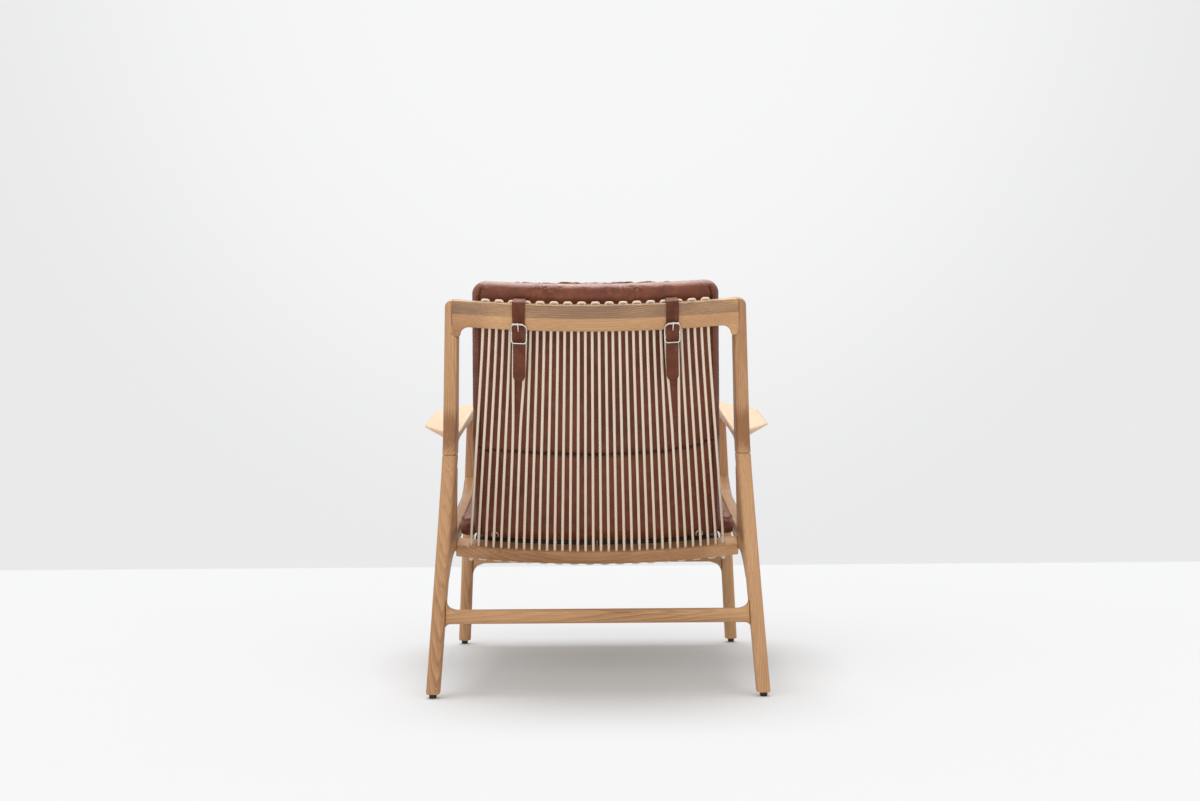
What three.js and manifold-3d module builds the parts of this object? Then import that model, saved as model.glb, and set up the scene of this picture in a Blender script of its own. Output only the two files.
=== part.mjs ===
// Oak lounge chair: a bowed back laced with cord, two leather cushions and two buckled straps.
// Millimetres, +Z up. The front faces -Y and the sitter's left is +X.
// The origin is on the floor under the middle of the chair's outline.

import * as THREE from 'three';
import { mergeVertices } from 'three/addons/utils/BufferGeometryUtils.js';
import Module from 'manifold-3d';

const wasm = await Module();
wasm.setup();

const degree = Math.PI / 180;

// Driving dimensions

const fit = 0.3;            // gap left between pieces that touch
const overrun = 4;          // how far a cut runs past the face that it opens

// The legs' outer faces are two straight planes that lean in as they rise.
const stance = {
  spacing: 735.5,           // rear glides to front glides, along the floor
  halfWidth: 338.3,         // over the rear legs at the floor
  frontNarrowing: 4.4,      // how much less the front legs stand out at the floor
  rearSplay: 3.07 * degree,
  frontSplay: 2.48 * degree,
};

// The back plane holds the cord. Its zero line is the cord's way out of the lower back rail.
const back = {
  recline: 22.5 * degree,
  lineY: -225,
  lineZ: 285,
};

const rearLeg = {
  rake: 17.5 * degree,
  width: 27.5,
  footDepth: 30,
  elbowDepth: 76,
  bendRadius: 150,          // centre line at the elbow
  round: 8,
  swellPower: 1.5,
};

const ear = {               // the rear leg's root for the side rail
  buttY: -240,
  underRadius: 160,
  underStartY: -190,
  reachBelowElbow: 20,
  round: 7,
};

const post = {
  topDepth: 42,
  shoulderRound: 13.5,      // outer top corner, seen from behind
  round: 8,
};

const topRail = {
  height: 56.5,
  thickness: 28,
  topAlong: 542,            // rear edge of the top face, along the back plane
  topSlopeShare: 0.25,      // how much the top face drops towards the front
  bow: 34,
  endRadius: 19,            // fillet under the rail's ends
  returnDrop: 22,           // how far the end's return reaches below the rail
  cheek: 14.7,              // post left outside of the rail's end
  round: 5,
};

const lowerRail = {
  height: 27,
  behind: 11,               // wood behind the cord's line
  ahead: 31,                // wood ahead of the cord's line
  bow: 38,
  round: 4,
};

const sideRail = {
  width: 27.5,
  height: 38,
  topAtButt: 307,
  rise: 7.6 * degree,
  rearFlare: 12,
  rearFlareLength: 38,
  frontFlare: 30,
  frontFlareLength: 80,
  underFlare: 14,
  underFlareLength: 34,
  round: 7,
};

const frontLeg = {
  width: 28,
  footDepth: 29,
  topDepth: 36,
  round: 8,
  dowelRadius: 8,
  dowelLength: 11,
};

const arm = {
  rootY: -166,
  flareY: -205,             // where the outer edge leaves the legs' outer face
  tipY: -440,               // where it reaches its widest place
  cornerBehind: 28.5,       // where the slanting front edge starts, behind the front legs' line
  noseAhead: 52.5,          // where it ends, ahead of that line
  overhang: 73,             // beyond the legs' outer face
  frontOverhang: 75,
  edgeAtTip: 529.5,         // height of the outer edge at the tip
  rise: 6.5 * degree,
  innerRise: 21,            // how far the dished top climbs from outer to inner edge
  under: 4.8,               // outer edge's thickness
  innerUnder: 5.6,          // how far the underside climbs inwards at the root
  frontDrop: 7.5,           // how much deeper the inner side gets towards the front
  dropFromY: -330,
  dropToY: -600,
  noseDrop: 9,
  innerRound: 6,
  rootFlare: 5,
  rootFlareLength: 34,
};

const stretcher = {
  height: 28,
  thickness: 24,
  rearTop: 167.5,
  frontTop: 221,
  upperRadius: 19,
  lowerRadius: 9,
  frontLowerRadius: 26,
  round: 7,
};

const seatRail = {
  height: 38,
  thickness: 24,
  upperRadius: 4,
  lowerRadius: 16,
  round: 5,
};

const tenon = {
  length: 12,
  thickness: 10,
  shoulder: 5,              // wood left above and below a tenon
  bore: 0.3,                // play in the mortise
};

const glide = {
  radius: 7.5,
  height: 8,
  footTaper: 0.8,
  bore: 1.9,
  recess: 4.4,
  recessDepth: 2.6,
  pinRadius: 1.5,
  pinHeadRadius: 3.6,
  pinHead: 1.4,
  pinLength: 22,
};

const cord = {
  radius: 2.75,
  strands: 34,
  topPitch: 13.5,
  lowerPitch: 16,
  bendRadius: 3.4,          // centre line where it turns over a rail
  hole: 3.9,
  pushed: 3.8,              // how far the buckle straps push a strand aside
  pushFade: 230,
  knot: 5,
  knotLength: 9,
};

const seat = {
  rearZ: 300.5,             // underside of the seat cushion at its rear edge
  rearY: -273,
  frontAhead: 52.5,         // ahead of the front legs' line
  sideGap: 1.9,             // play beside the front legs
  border: 34,
  crown: 46,
  sag: 2,
  drawIn: 8,
  corner: 34,
  rearBow: 26,              // the rear edge follows the bowed back
};

const backPad = {
  bottom: 8,
  aboveRail: 40,
  lowerHalfWidth: 259,
  upperHalfWidth: 243,
  border: 38,
  crown: 62,
  rearCrown: 7,             // where it swells against the cord
  easeGap: 105.5,           // the swell dies out this far below the sewn straps' buckles
  easeLength: 105,
  strapGap: 1.4,
  drawIn: 6,
  corner: 36,
};

const webbing = {
  count: 6,
  gap: 4.4,                 // between neighbouring bands
  thickness: 2.4,
  sideMargin: 34,           // cushion beyond the outer bands
  turnDown: 18,
  railGap: 1.9,
};

const strap = {
  width: 25,
  thickness: 2.5,
  strandsIn: 11,            // strap centre, in strand pitches from the middle
  tailLength: 78,           // below the buckle
  curlShare: 0.17,          // how far the tail curls out, as a share of its length
  sewnDrop: 46,             // from the rail's top to its end on the cushion
  holeRadius: 1.4,
  holePitch: 20,
  holes: 3,
  firstHoleGap: 5,          // from the buckle's top bar to the first hole
  neck: 12,                 // width where the buckle strap passes the cord
};

const buckle = {
  width: 33,
  wire: 1.6,
  underRail: 5,             // middle bar, below the rail's lower edge
  barBehind: 14.4,
  aboveBar: 21.5,           // from the middle bar to the top bar
  belowBar: 18.5,
  dipDepth: 6.4,            // how far the end bars stand behind the middle bar
  dipLength: 20,
  topRound: 9,
  bottomRound: 5,
  prong: 1.3,
  prongPast: 4.5,
  eyeWidth: 5,
};

const ring = {
  radius: 7,
  wire: 1.25,
  drop: 3.5,                // the flat bar, below the round's centre
  x: 215,
  along: 23,
  behind: -10.5,
  seatBehind: -16,          // where the tab lies on the cushion
  tabLength: 12,
  tabWidth: 9,
  tabThickness: 1.2,
};

// Materials

const oak = (name, tone) => new THREE.MeshStandardMaterial({ name, color: tone, roughness: 0.5, metalness: 0 });
const legOak = oak('leg_oak', 0xb98f66);
const railOak = oak('rail_oak', 0xc59a6d);
const armOak = oak('arm_oak', 0xd8b48a);
const leather = new THREE.MeshStandardMaterial({ name: 'leather', color: 0x6e3524, roughness: 0.45, metalness: 0 });
const strapLeather = new THREE.MeshStandardMaterial({
  name: 'strap_leather', color: 0x784838, roughness: 0.5, metalness: 0,
});
const cotton = new THREE.MeshStandardMaterial({ name: 'cord', color: 0xe4d5bd, roughness: 0.85, metalness: 0 });
const web = new THREE.MeshStandardMaterial({ name: 'webbing', color: 0x2b2623, roughness: 0.9, metalness: 0 });
const nickel = new THREE.MeshStandardMaterial({ name: 'nickel', color: 0xc9c5bd, roughness: 0.25, metalness: 1 });
const blackFoot = new THREE.MeshStandardMaterial({ name: 'foot', color: 0x161412, roughness: 0.6, metalness: 0 });
const steel = new THREE.MeshStandardMaterial({ name: 'steel', color: 0x8f8f8f, roughness: 0.4, metalness: 1 });

// Frames

const tanRear = Math.tan(stance.rearSplay);
const tanFront = Math.tan(stance.frontSplay);

function outerX(y, z) {
  const share = -y / stance.spacing;
  const floor = THREE.MathUtils.lerp(stance.halfWidth, stance.halfWidth - stance.frontNarrowing, share);
  return floor - THREE.MathUtils.lerp(tanRear, tanFront, share) * z;
}

// A point of a side frame, w in from the legs' outer face.
function sidePoint(side, w, y, z) {
  return new THREE.Vector3(side * (outerX(y, z) - w), y, z);
}

const sinBack = Math.sin(back.recline);
const cosBack = Math.cos(back.recline);

// A point by the back plane: x across, along up the cord, behind towards the rear.
function backPoint(x, along, behind) {
  const y = back.lineY + along * sinBack + behind * cosBack;
  const z = back.lineZ + along * cosBack - behind * sinBack;
  return new THREE.Vector3(x, y, z);
}

// Solids

function ringLoft(rings, closedLoop = false) {
  const count = rings[0].length;
  const positions = [];
  rings.forEach((ring_) => ring_.forEach((p) => positions.push(p.x, p.y, p.z)));
  const faces = [];
  const spans = closedLoop ? rings.length : rings.length - 1;
  for (let i = 0; i < spans; i += 1) {
    const near = i * count;
    const far = ((i + 1) % rings.length) * count;
    for (let j = 0; j < count; j += 1) {
      const k = (j + 1) % count;
      faces.push([near + j, near + k, far + k], [near + j, far + k, far + j]);
    }
  }
  if (!closedLoop) {
    [0, rings.length - 1].forEach((index) => {
      const middle = new THREE.Vector3();
      rings[index].forEach((p) => middle.add(p));
      middle.divideScalar(count);
      const centre = positions.length / 3;
      positions.push(middle.x, middle.y, middle.z);
      for (let j = 0; j < count; j += 1) {
        const k = (j + 1) % count;
        const a = index * count + j;
        const b = index * count + k;
        faces.push(index === 0 ? [centre, b, a] : [centre, a, b]);
      }
    });
  }
  return solidFrom(positions, faces.flat());
}

// Faces turned inside out by a mirrored frame are turned back here.
function solidFrom(positions, indices) {
  let volume = 0;
  const a = new THREE.Vector3();
  const b = new THREE.Vector3();
  const c = new THREE.Vector3();
  for (let i = 0; i < indices.length; i += 3) {
    a.fromArray(positions, indices[i] * 3);
    b.fromArray(positions, indices[i + 1] * 3);
    c.fromArray(positions, indices[i + 2] * 3);
    volume += a.dot(b.cross(c));
  }
  const turned = volume > 0 ? indices : indices.map((_, i) => indices[i - (i % 3) + 2 - (i % 3)]);
  return new wasm.Manifold(new wasm.Mesh({
    numProp: 3,
    vertProperties: new Float32Array(positions),
    triVerts: new Uint32Array(turned),
  }));
}

function solidFromGeometry(geometry, matrix) {
  geometry.deleteAttribute('normal');
  geometry.deleteAttribute('uv');
  const merged = mergeVertices(geometry);
  merged.applyMatrix4(matrix);
  return solidFrom(Array.from(merged.attributes.position.array), Array.from(merged.index.array));
}

function geometryFrom(solid) {
  const mesh = solid.getMesh();
  const geometry = new THREE.BufferGeometry();
  geometry.setAttribute('position', new THREE.BufferAttribute(new Float32Array(mesh.vertProperties), 3));
  geometry.setIndex(new THREE.BufferAttribute(new Uint32Array(mesh.triVerts), 1));
  geometry.computeVertexNormals();
  return geometry;
}

// Corners of a rectangle with round corners, as [u, v] pairs in order.
function roundedRectangle(halfU, halfV, radius, steps = 2) {
  const r = Math.min(radius, halfU * 0.98, halfV * 0.98);
  const points = [];
  [[1, 1], [-1, 1], [-1, -1], [1, -1]].forEach(([su, sv], quarter) => {
    for (let i = 0; i <= steps; i += 1) {
      const angle = (quarter + i / steps) * (Math.PI / 2);
      points.push([su * (halfU - r) + r * Math.cos(angle), sv * (halfV - r) + r * Math.sin(angle)]);
    }
  });
  return points;
}

const lerp = THREE.MathUtils.lerp;

// Rise of a round fillet at a distance from where it starts.
function filletRise(radius, distance) {
  const d = Math.min(Math.max(distance, 0), radius);
  return radius - Math.sqrt(radius * radius - d * d);
}

function cylinderSolid(from, to, radius, sides = 10) {
  const axis = new THREE.Vector3().subVectors(to, from);
  const geometry = new THREE.CylinderGeometry(radius, radius, axis.length(), sides);
  const turn = new THREE.Quaternion().setFromUnitVectors(new THREE.Vector3(0, 1, 0), axis.clone().normalize());
  const middle = new THREE.Vector3().addVectors(from, to).multiplyScalar(1 / 2);
  return solidFromGeometry(geometry, new THREE.Matrix4().compose(middle, turn, new THREE.Vector3(1, 1, 1)));
}

// A block between two opposite corners given by a frame's point function.
function block(point, low, high) {
  const corners = (c) => [[low[0], low[1]], [high[0], low[1]], [high[0], high[1]], [low[0], high[1]]]
    .map(([a, b]) => point(a, b, c));
  return ringLoft([corners(low[2]), corners(high[2])]);
}

// A flat strip. Each stop of its route has a place, a half width and a direction across.
function stripSolid(route, thickness) {
  const rings = route.map((stop, i) => {
    const before = route[Math.max(i - 1, 0)].at;
    const after = route[Math.min(i + 1, route.length - 1)].at;
    const first = new THREE.Vector3().subVectors(stop.at, before).normalize();
    const second = new THREE.Vector3().subVectors(after, stop.at).normalize();
    const tangent = new THREE.Vector3().addVectors(first, second).normalize();
    const mitre = Math.max(tangent.dot(i === 0 ? second : first), Math.cos(Math.PI / 3));
    const normal = new THREE.Vector3().crossVectors(stop.across, tangent).normalize();
    return [[1, 1], [-1, 1], [-1, -1], [1, -1]].map(([across, up]) => stop.at.clone()
      .addScaledVector(stop.across, across * stop.half)
      .addScaledVector(normal, up * (thickness / 2 / mitre)));
  });
  return ringLoft(rings);
}

// A round tube on a route, its rings turned from one reference direction.
function tubeSolid(route, radiusAt, sides, reference, closedLoop = false) {
  const count = route.length;
  const rings = route.map((p, i) => {
    const before = closedLoop ? route[(i + count - 1) % count] : route[Math.max(i - 1, 0)];
    const after = closedLoop ? route[(i + 1) % count] : route[Math.min(i + 1, count - 1)];
    const first = new THREE.Vector3().subVectors(p, before).normalize();
    const second = new THREE.Vector3().subVectors(after, p).normalize();
    const tangent = new THREE.Vector3().addVectors(first, second).normalize();
    const flat = reference.clone().addScaledVector(tangent, -reference.dot(tangent)).normalize();
    const across = new THREE.Vector3().crossVectors(tangent, flat);
    const radius = radiusAt(i);
    return Array.from({ length: sides }, (_, j) => {
      const angle = ((j + 0.5) / sides) * 2 * Math.PI;
      return p.clone()
        .addScaledVector(flat, radius * Math.cos(angle))
        .addScaledVector(across, radius * Math.sin(angle));
    });
  });
  return ringLoft(rings, closedLoop);
}

// Elbow of the rear leg and post, in the side view

// Height along the back plane that the sloped top faces lose, ahead of the rail's rear face.
function topLoss(behindRail) {
  return topRail.topSlopeShare * (topRail.thickness / 2 - behindRail);
}

const postOffset = topRail.thickness / 2 - post.topDepth / 2;
const upperStart = backPoint(0, 0, postOffset);
const tanRake = Math.tan(rearLeg.rake);
const cornerAlong = -(upperStart.y + tanRake * upperStart.z) / (sinBack + tanRake * cosBack);
const elbowCorner = backPoint(0, cornerAlong, postOffset);
const elbowTangent = rearLeg.bendRadius * Math.tan((back.recline + rearLeg.rake) / 2);
const lowerTangentY = elbowCorner.y + elbowTangent * Math.sin(rearLeg.rake);
const lowerTangentZ = elbowCorner.z - elbowTangent * Math.cos(rearLeg.rake);
const bendY = lowerTangentY + rearLeg.bendRadius * Math.cos(rearLeg.rake);
const elbowZ = lowerTangentZ + rearLeg.bendRadius * Math.sin(rearLeg.rake);

function rearLegCentre(z) {
  if (z <= lowerTangentZ) return -z * tanRake;
  const rise = z - elbowZ;
  return bendY - Math.sqrt(rearLeg.bendRadius ** 2 - rise * rise);
}

function rearLegDepth(z) {
  const share = Math.min(Math.max(z / elbowZ, 0), 1);
  return lerp(rearLeg.footDepth, rearLeg.elbowDepth, share ** rearLeg.swellPower);
}

function sideRailTopLine(y) {
  return sideRail.topAtButt + Math.tan(sideRail.rise) * (ear.buttY - y);
}

function rearLegLoft(side, grow, fromZ, toZ) {
  const stations = [0, 0.12, 0.25, 0.38, 0.5, 0.62, 0.74, 0.84, 0.92, 1].map((s) => lerp(fromZ, toZ, s));
  return ringLoft(stations.map((z) => {
    const half = rearLegDepth(z) / 2 + grow;
    const middle = rearLeg.width / 2;
    return roundedRectangle(middle + grow, half, rearLeg.round, 3)
      .map(([u, v]) => sidePoint(side, middle + u, rearLegCentre(z) + v, z));
  }));
}

// The ear swells out of the leg's front like a horn and ends square where the side rail butts on it.
function earLoft(side, grow) {
  const frontY = rearLegCentre(elbowZ - ear.reachBelowElbow) - rearLegDepth(elbowZ) / 2;
  const lowest = ear.buttY + (ear.underStartY - ear.buttY) * 3;
  const shares = [0, 0.07, 0.16, 0.28, 0.4, 0.55, 0.7, 0.85, 1];
  return ringLoft(shares.map((s) => {
    const y = lerp(ear.buttY, lowest, s);
    const climb = Math.min((y - ear.buttY) / (frontY - ear.buttY), 1);
    const start = sideRailTopLine(ear.buttY) + sideRail.rearFlare;
    const reach = elbowZ - ear.reachBelowElbow - start;
    const curve = start + reach * (0.72 * climb + 0.28 * climb * climb);
    const top = Math.min(curve, -y / tanRake);
    const bottom = sideRailTopLine(y) - sideRail.height - filletRise(ear.underRadius, y - ear.underStartY);
    const halfHeight = (top - bottom) / 2 + grow;
    const middle = rearLeg.width / 2;
    return roundedRectangle(middle + grow, halfHeight, ear.round)
      .map(([u, v]) => sidePoint(side, middle + u, y - (s === 0 ? grow : 0), (top + bottom) / 2 + v));
  }));
}

// Posts

function postStation(length) {
  const arc = rearLeg.bendRadius * back.recline;
  if (length < arc) {
    const angle = length / rearLeg.bendRadius;
    return {
      y: bendY - rearLeg.bendRadius * Math.cos(angle),
      z: elbowZ + rearLeg.bendRadius * Math.sin(angle),
      lean: angle,
    };
  }
  const tangentY = bendY - rearLeg.bendRadius * cosBack;
  const tangentZ = elbowZ + rearLeg.bendRadius * sinBack;
  return {
    y: tangentY + (length - arc) * sinBack,
    z: tangentZ + (length - arc) * cosBack,
    lean: back.recline,
  };
}

const postLength = rearLeg.bendRadius * back.recline
  + topRail.topAlong - topLoss(postOffset) - cornerAlong - elbowTangent;

function postLoft(side, grow) {
  const shares = [0, 0.07, 0.16, 0.28, 0.42, 0.58, 0.74, 0.88];
  const shoulder = [1, 0.75, 0.5, 0.25, 0.08, 0];
  const lengths = shares.map((s) => lerp(fit / 2, postLength - post.shoulderRound, s));
  shoulder.forEach((s) => lengths.push(postLength - post.shoulderRound * s));
  return ringLoft(lengths.map((length) => {
    const place = postStation(length);
    const share = length / postLength;
    const half = lerp(rearLeg.elbowDepth, post.topDepth, 1 - (1 - share) ** 1.6) / 2 + grow;
    const trimmed = filletRise(post.shoulderRound, length - (postLength - post.shoulderRound));
    const outer = Math.min(trimmed, post.shoulderRound) - grow;
    const inner = rearLeg.width + grow;
    const middle = (outer + inner) / 2;
    const lean = place.lean - Math.atan(topRail.topSlopeShare) * share ** 3;
    return roundedRectangle((inner - outer) / 2, half, post.round).map(([u, v]) => sidePoint(
      side,
      middle + u,
      place.y + v * Math.cos(lean),
      place.z - v * Math.sin(lean),
    ));
  }));
}

// Top rail

const cordTop = topRail.topAlong - topLoss(0);
const railBottom = topRail.topAlong - topRail.height;
const backPadTop = topRail.topAlong + backPad.aboveRail;
const railEndX = outerX(backPoint(0, topRail.topAlong, 0).y, backPoint(0, topRail.topAlong, 0).z) - topRail.cheek;
const railInnerX = railEndX - (rearLeg.width - topRail.cheek);

function topBow(x) {
  return topRail.bow * (1 - Math.min(x / railInnerX, 1) ** 2);
}

function lowerBow(x) {
  return lowerRail.bow * (1 - (x / lowerRailEndX) ** 2);
}

const lowerRailEndX = outerX(back.lineY, back.lineZ) - sideRail.width;

function topRailLoft(grow) {
  const half = [railEndX, railInnerX + fit, railInnerX];
  [0.12, 0.35, 0.6, 0.82, 1].forEach((s) => half.push(railInnerX - topRail.endRadius * s));
  [0.86, 0.72, 0.58, 0.43, 0.29, 0.15].forEach((s) => half.push((railInnerX - topRail.endRadius) * s));
  const stations = [...half.map((x) => -x), 0, ...half.reverse()];
  return ringLoft(stations.map((x) => {
    const past = Math.abs(x) - (railInnerX - topRail.endRadius);
    const inReturn = Math.abs(x) > railInnerX;
    const drop = inReturn ? topRail.returnDrop : filletRise(topRail.endRadius, past);
    const top = topRail.topAlong + grow;
    const bottom = topRail.topAlong - topRail.height - drop - grow;
    const reach = Math.abs(x) === railEndX ? Math.sign(x) * grow : 0;
    const halfThick = topRail.thickness / 2 + grow;
    const leanIn = (along) => (inReturn ? Math.sign(x) * tanRear * cosBack * (topRail.topAlong - along) : 0);
    return roundedRectangle((top - bottom) / 2, halfThick, topRail.round)
      .map(([u, v]) => backPoint(
        x + reach + leanIn((top + bottom) / 2 + u),
        (top + bottom) / 2 + u - (u > 0 ? topLoss(v) : 0),
        topBow(Math.abs(x)) + v,
      ));
  }));
}

function topRailTenon(side, grow) {
  const low = topRail.topAlong - topRail.height - topRail.returnDrop + tenon.shoulder * 2;
  const high = topRail.topAlong - post.shoulderRound - tenon.shoulder * 2;
  const reach = topRail.cheek - tenon.shoulder;
  const point = (x, along, behind) => backPoint(side * x, along, behind);
  return block(
    point,
    [railInnerX, low - grow, -tenon.thickness / 2 - grow],
    [railEndX + reach + grow, high + grow, tenon.thickness / 2 + grow],
  );
}

// Lower back rail

function lowerRailLoft() {
  const shares = [-1, -0.84, -0.67, -0.5, -0.33, -0.17, 0, 0.17, 0.33, 0.5, 0.67, 0.84, 1];
  return ringLoft(shares.map((s) => {
    const halfThick = (lowerRail.behind + lowerRail.ahead) / 2;
    const centre = (lowerRail.behind - lowerRail.ahead) / 2;
    return roundedRectangle(lowerRail.height / 2, halfThick, lowerRail.round).map(([u, v]) => {
      const p = backPoint(0, u - lowerRail.height / 2, centre + v);
      const end = outerX(p.y, p.z) - sideRail.width - fit;
      return backPoint(s * end, u - lowerRail.height / 2, centre + v + lowerBow(s * end));
    });
  }));
}

function lowerRailTenon(side, grow) {
  const point = (x, along, behind) => backPoint(side * x, along, behind);
  const middle = (lowerRail.behind - lowerRail.ahead) / 2;
  return block(
    point,
    [lowerRailEndX - tenon.shoulder, -lowerRail.height + tenon.shoulder - grow, middle - tenon.thickness / 2 - grow],
    [lowerRailEndX + tenon.length + grow, -tenon.shoulder + grow, middle + tenon.thickness / 2 + grow],
  );
}

// Holes of the cord

const strandIndex = Array.from({ length: cord.strands }, (_, i) => i);
const topHoleX = (i) => (i - (cord.strands - 1) / 2) * cord.topPitch;
const lowerHoleX = (i) => (i - (cord.strands - 1) / 2) * cord.lowerPitch;

function drill(solid, xOf, bowOf, low, high) {
  const holes = strandIndex.map((i) => cylinderSolid(
    backPoint(xOf(i), low - overrun, bowOf(Math.abs(xOf(i)))),
    backPoint(xOf(i), high + overrun, bowOf(Math.abs(xOf(i)))),
    cord.hole,
    6,
  ));
  return solid.subtract(wasm.Manifold.union(holes));
}

// Side rails

function sideRailLoft(side) {
  const frontFace = -stance.spacing + frontLeg.topDepth / 2;
  const lengths = ear.buttY - fit - frontFace;
  const shares = [0, 0.04, 0.09, 0.2, 0.4, 0.62, 0.83, 0.9, 0.95, 1, 1.04];
  return ringLoft(shares.map((s) => {
    const y = ear.buttY - fit - lengths * s;
    const fromButt = Math.max(1 - (ear.buttY - y) / sideRail.rearFlareLength, 0);
    const toFront = Math.max(1 - (y - frontFace) / sideRail.frontFlareLength, 0);
    const under = Math.max(1 - (y - frontFace) / sideRail.underFlareLength, 0);
    const top = sideRailTopLine(y) + sideRail.rearFlare * fromButt ** 2
      + sideRail.frontFlare * Math.min(toFront, 1) ** 2;
    const bottom = sideRailTopLine(y) - sideRail.height - sideRail.underFlare * Math.min(under, 1) ** 2;
    const middle = sideRail.width / 2;
    return roundedRectangle(middle, (top - bottom) / 2, sideRail.round)
      .map(([u, v]) => sidePoint(side, middle + u, y, (top + bottom) / 2 + v));
  }));
}

function sideRailTenon(side, grow, atFront) {
  const middle = sideRail.width / 2;
  const frontFace = -stance.spacing + frontLeg.topDepth / 2;
  const y = atFront ? frontFace : ear.buttY;
  const z = sideRailTopLine(y) - sideRail.height / 2;
  const half = sideRail.height / 2 - tenon.shoulder;
  const inward = atFront ? tenon.shoulder * 2 : -tenon.shoulder;
  const outward = atFront ? -tenon.length - grow : tenon.length + grow;
  const point = (w, height, depth) => sidePoint(side, w, depth, height);
  return block(
    point,
    [middle - tenon.thickness / 2 - grow, z - half - grow, y + inward],
    [middle + tenon.thickness / 2 + grow, z + half + grow, y + outward],
  );
}

// Armrest surfaces

const cornerY = -stance.spacing + arm.cornerBehind;
const noseY = -stance.spacing - arm.noseAhead;

// Height of an armrest's outer edge, and of its top and underside w in from the legs' outer face.
function armEdge(y) {
  return arm.edgeAtTip + Math.tan(arm.rise) * (arm.tipY - y);
}

function armInward(w) {
  return Math.max((w + arm.overhang) / (arm.overhang + rearLeg.width), 0);
}

function armTop(w, y) {
  const past = Math.max((cornerY - y) / (cornerY - noseY), 0);
  return armEdge(y) + arm.innerRise * armInward(w) ** 1.35 - arm.noseDrop * past;
}

function armUnder(w, y) {
  const forward = Math.min(Math.max((arm.dropFromY - y) / (arm.dropFromY - arm.dropToY), 0), 1);
  const climb = (arm.innerUnder - arm.frontDrop * forward) * armInward(w) ** 3;
  return armEdge(y) - arm.under + climb;
}

// Front legs

function frontLegDepth(z) {
  return lerp(frontLeg.footDepth, frontLeg.topDepth, Math.min(z / armEdge(-stance.spacing), 1));
}

function frontLegLoft(side, grow) {
  const top = armEdge(-stance.spacing);
  const stations = [0, 0.25, 0.5, 0.75, 1].map((s) => lerp(glide.height + fit, top, s));
  return ringLoft(stations.map((z) => {
    const middle = frontLeg.width / 2;
    return roundedRectangle(middle + grow, frontLegDepth(z) / 2 + grow, frontLeg.round)
      .map(([u, v]) => sidePoint(side, middle + u, -stance.spacing + v, z));
  }));
}

function frontLegDowel(side, grow) {
  const middle = frontLeg.width / 2;
  const top = armUnder(middle, -stance.spacing);
  const low = sidePoint(side, middle, -stance.spacing, top - tenon.length);
  const high = sidePoint(side, middle, -stance.spacing, top + frontLeg.dowelLength + grow);
  return cylinderSolid(low, high, frontLeg.dowelRadius + grow, 12);
}

// Armrests

function armOuter(y) {
  if (y > arm.flareY) return 0;
  if (y > arm.tipY) return -arm.overhang * ((arm.flareY - y) / (arm.flareY - arm.tipY)) ** 1.11;
  if (y > cornerY) return lerp(-arm.overhang, -arm.frontOverhang, (arm.tipY - y) / (arm.tipY - cornerY));
  const share = (cornerY - y) / (cornerY - noseY);
  return lerp(-arm.frontOverhang, rearLeg.width / 2, share ** 1.3);
}

function armLoft(side, grow) {
  const stations = [
    arm.rootY + overrun * 4,
    arm.rootY,
    ...[0.4, 1].map((s) => lerp(arm.rootY, arm.flareY, s)),
    ...[0.25, 0.55, 0.85, 1].map((s) => lerp(arm.flareY, arm.tipY, s)),
    ...[0.06, 0.5, 0.95, 1].map((s) => lerp(arm.tipY, cornerY, s)),
    ...[0.15, 0.38, 0.62, 0.84, 1].map((s) => lerp(cornerY, noseY, s)),
  ];
  const across = [0, 0.04, 0.25, 0.5, 0.75, 0.92, 0.98, 1];
  return ringLoft(stations.map((y) => {
    const outer = armOuter(y);
    const noseShare = Math.max((cornerY - y) / (cornerY - noseY), 0);
    const innerTrim = noseShare > 0.8 ? filletRise(frontLeg.round, (noseShare - 0.8) / 0.2 * frontLeg.round) : 0;
    const inner = rearLeg.width - innerTrim;
    const width = inner - outer;
    const nearRoot = Math.min(Math.max(1 - (arm.rootY - y) / arm.rootFlareLength, 0), 1);
    const flare = arm.rootFlare * nearRoot ** 2;
    const surface = across.map((s) => {
      const w = outer + s * width;
      const top = armTop(w, y) + flare;
      const bottom = armUnder(w, y) - flare * 2;
      const r = Math.min((top - bottom) / 2, s < 0.5 && width > rearLeg.width * 1.5 ? arm.under / 2 : arm.innerRound);
      const fromEdge = Math.min(Math.min(s, 1 - s) * width, r);
      const rounding = r - Math.sqrt(Math.max(r * r - (r - fromEdge) ** 2, 0));
      return { w, top: top - rounding, bottom: bottom + rounding };
    });
    const ringPoints = surface.map((p) => [p.w, p.top + grow]);
    surface.slice().reverse().forEach((p) => ringPoints.push([p.w, p.bottom - grow]));
    const middleW = (outer + inner) / 2;
    return ringPoints.map(([w, z]) => sidePoint(side, w + Math.sign(w - middleW) * grow, y, z));
  }));
}

function armTenon(side, grow) {
  const middle = rearLeg.width / 2;
  const y = arm.rootY;
  const z = (armTop(middle, y) + armUnder(middle, y)) / 2;
  const half = (armTop(middle, y) - armUnder(middle, y)) / 2 - tenon.shoulder;
  const point = (w, height, depth) => sidePoint(side, w, depth, height);
  return block(
    point,
    [middle - tenon.thickness / 2 - grow, z - half - grow, y - tenon.length * 2],
    [middle + tenon.thickness / 2 + grow, z + half + grow, y + tenon.length + grow],
  );
}

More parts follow.
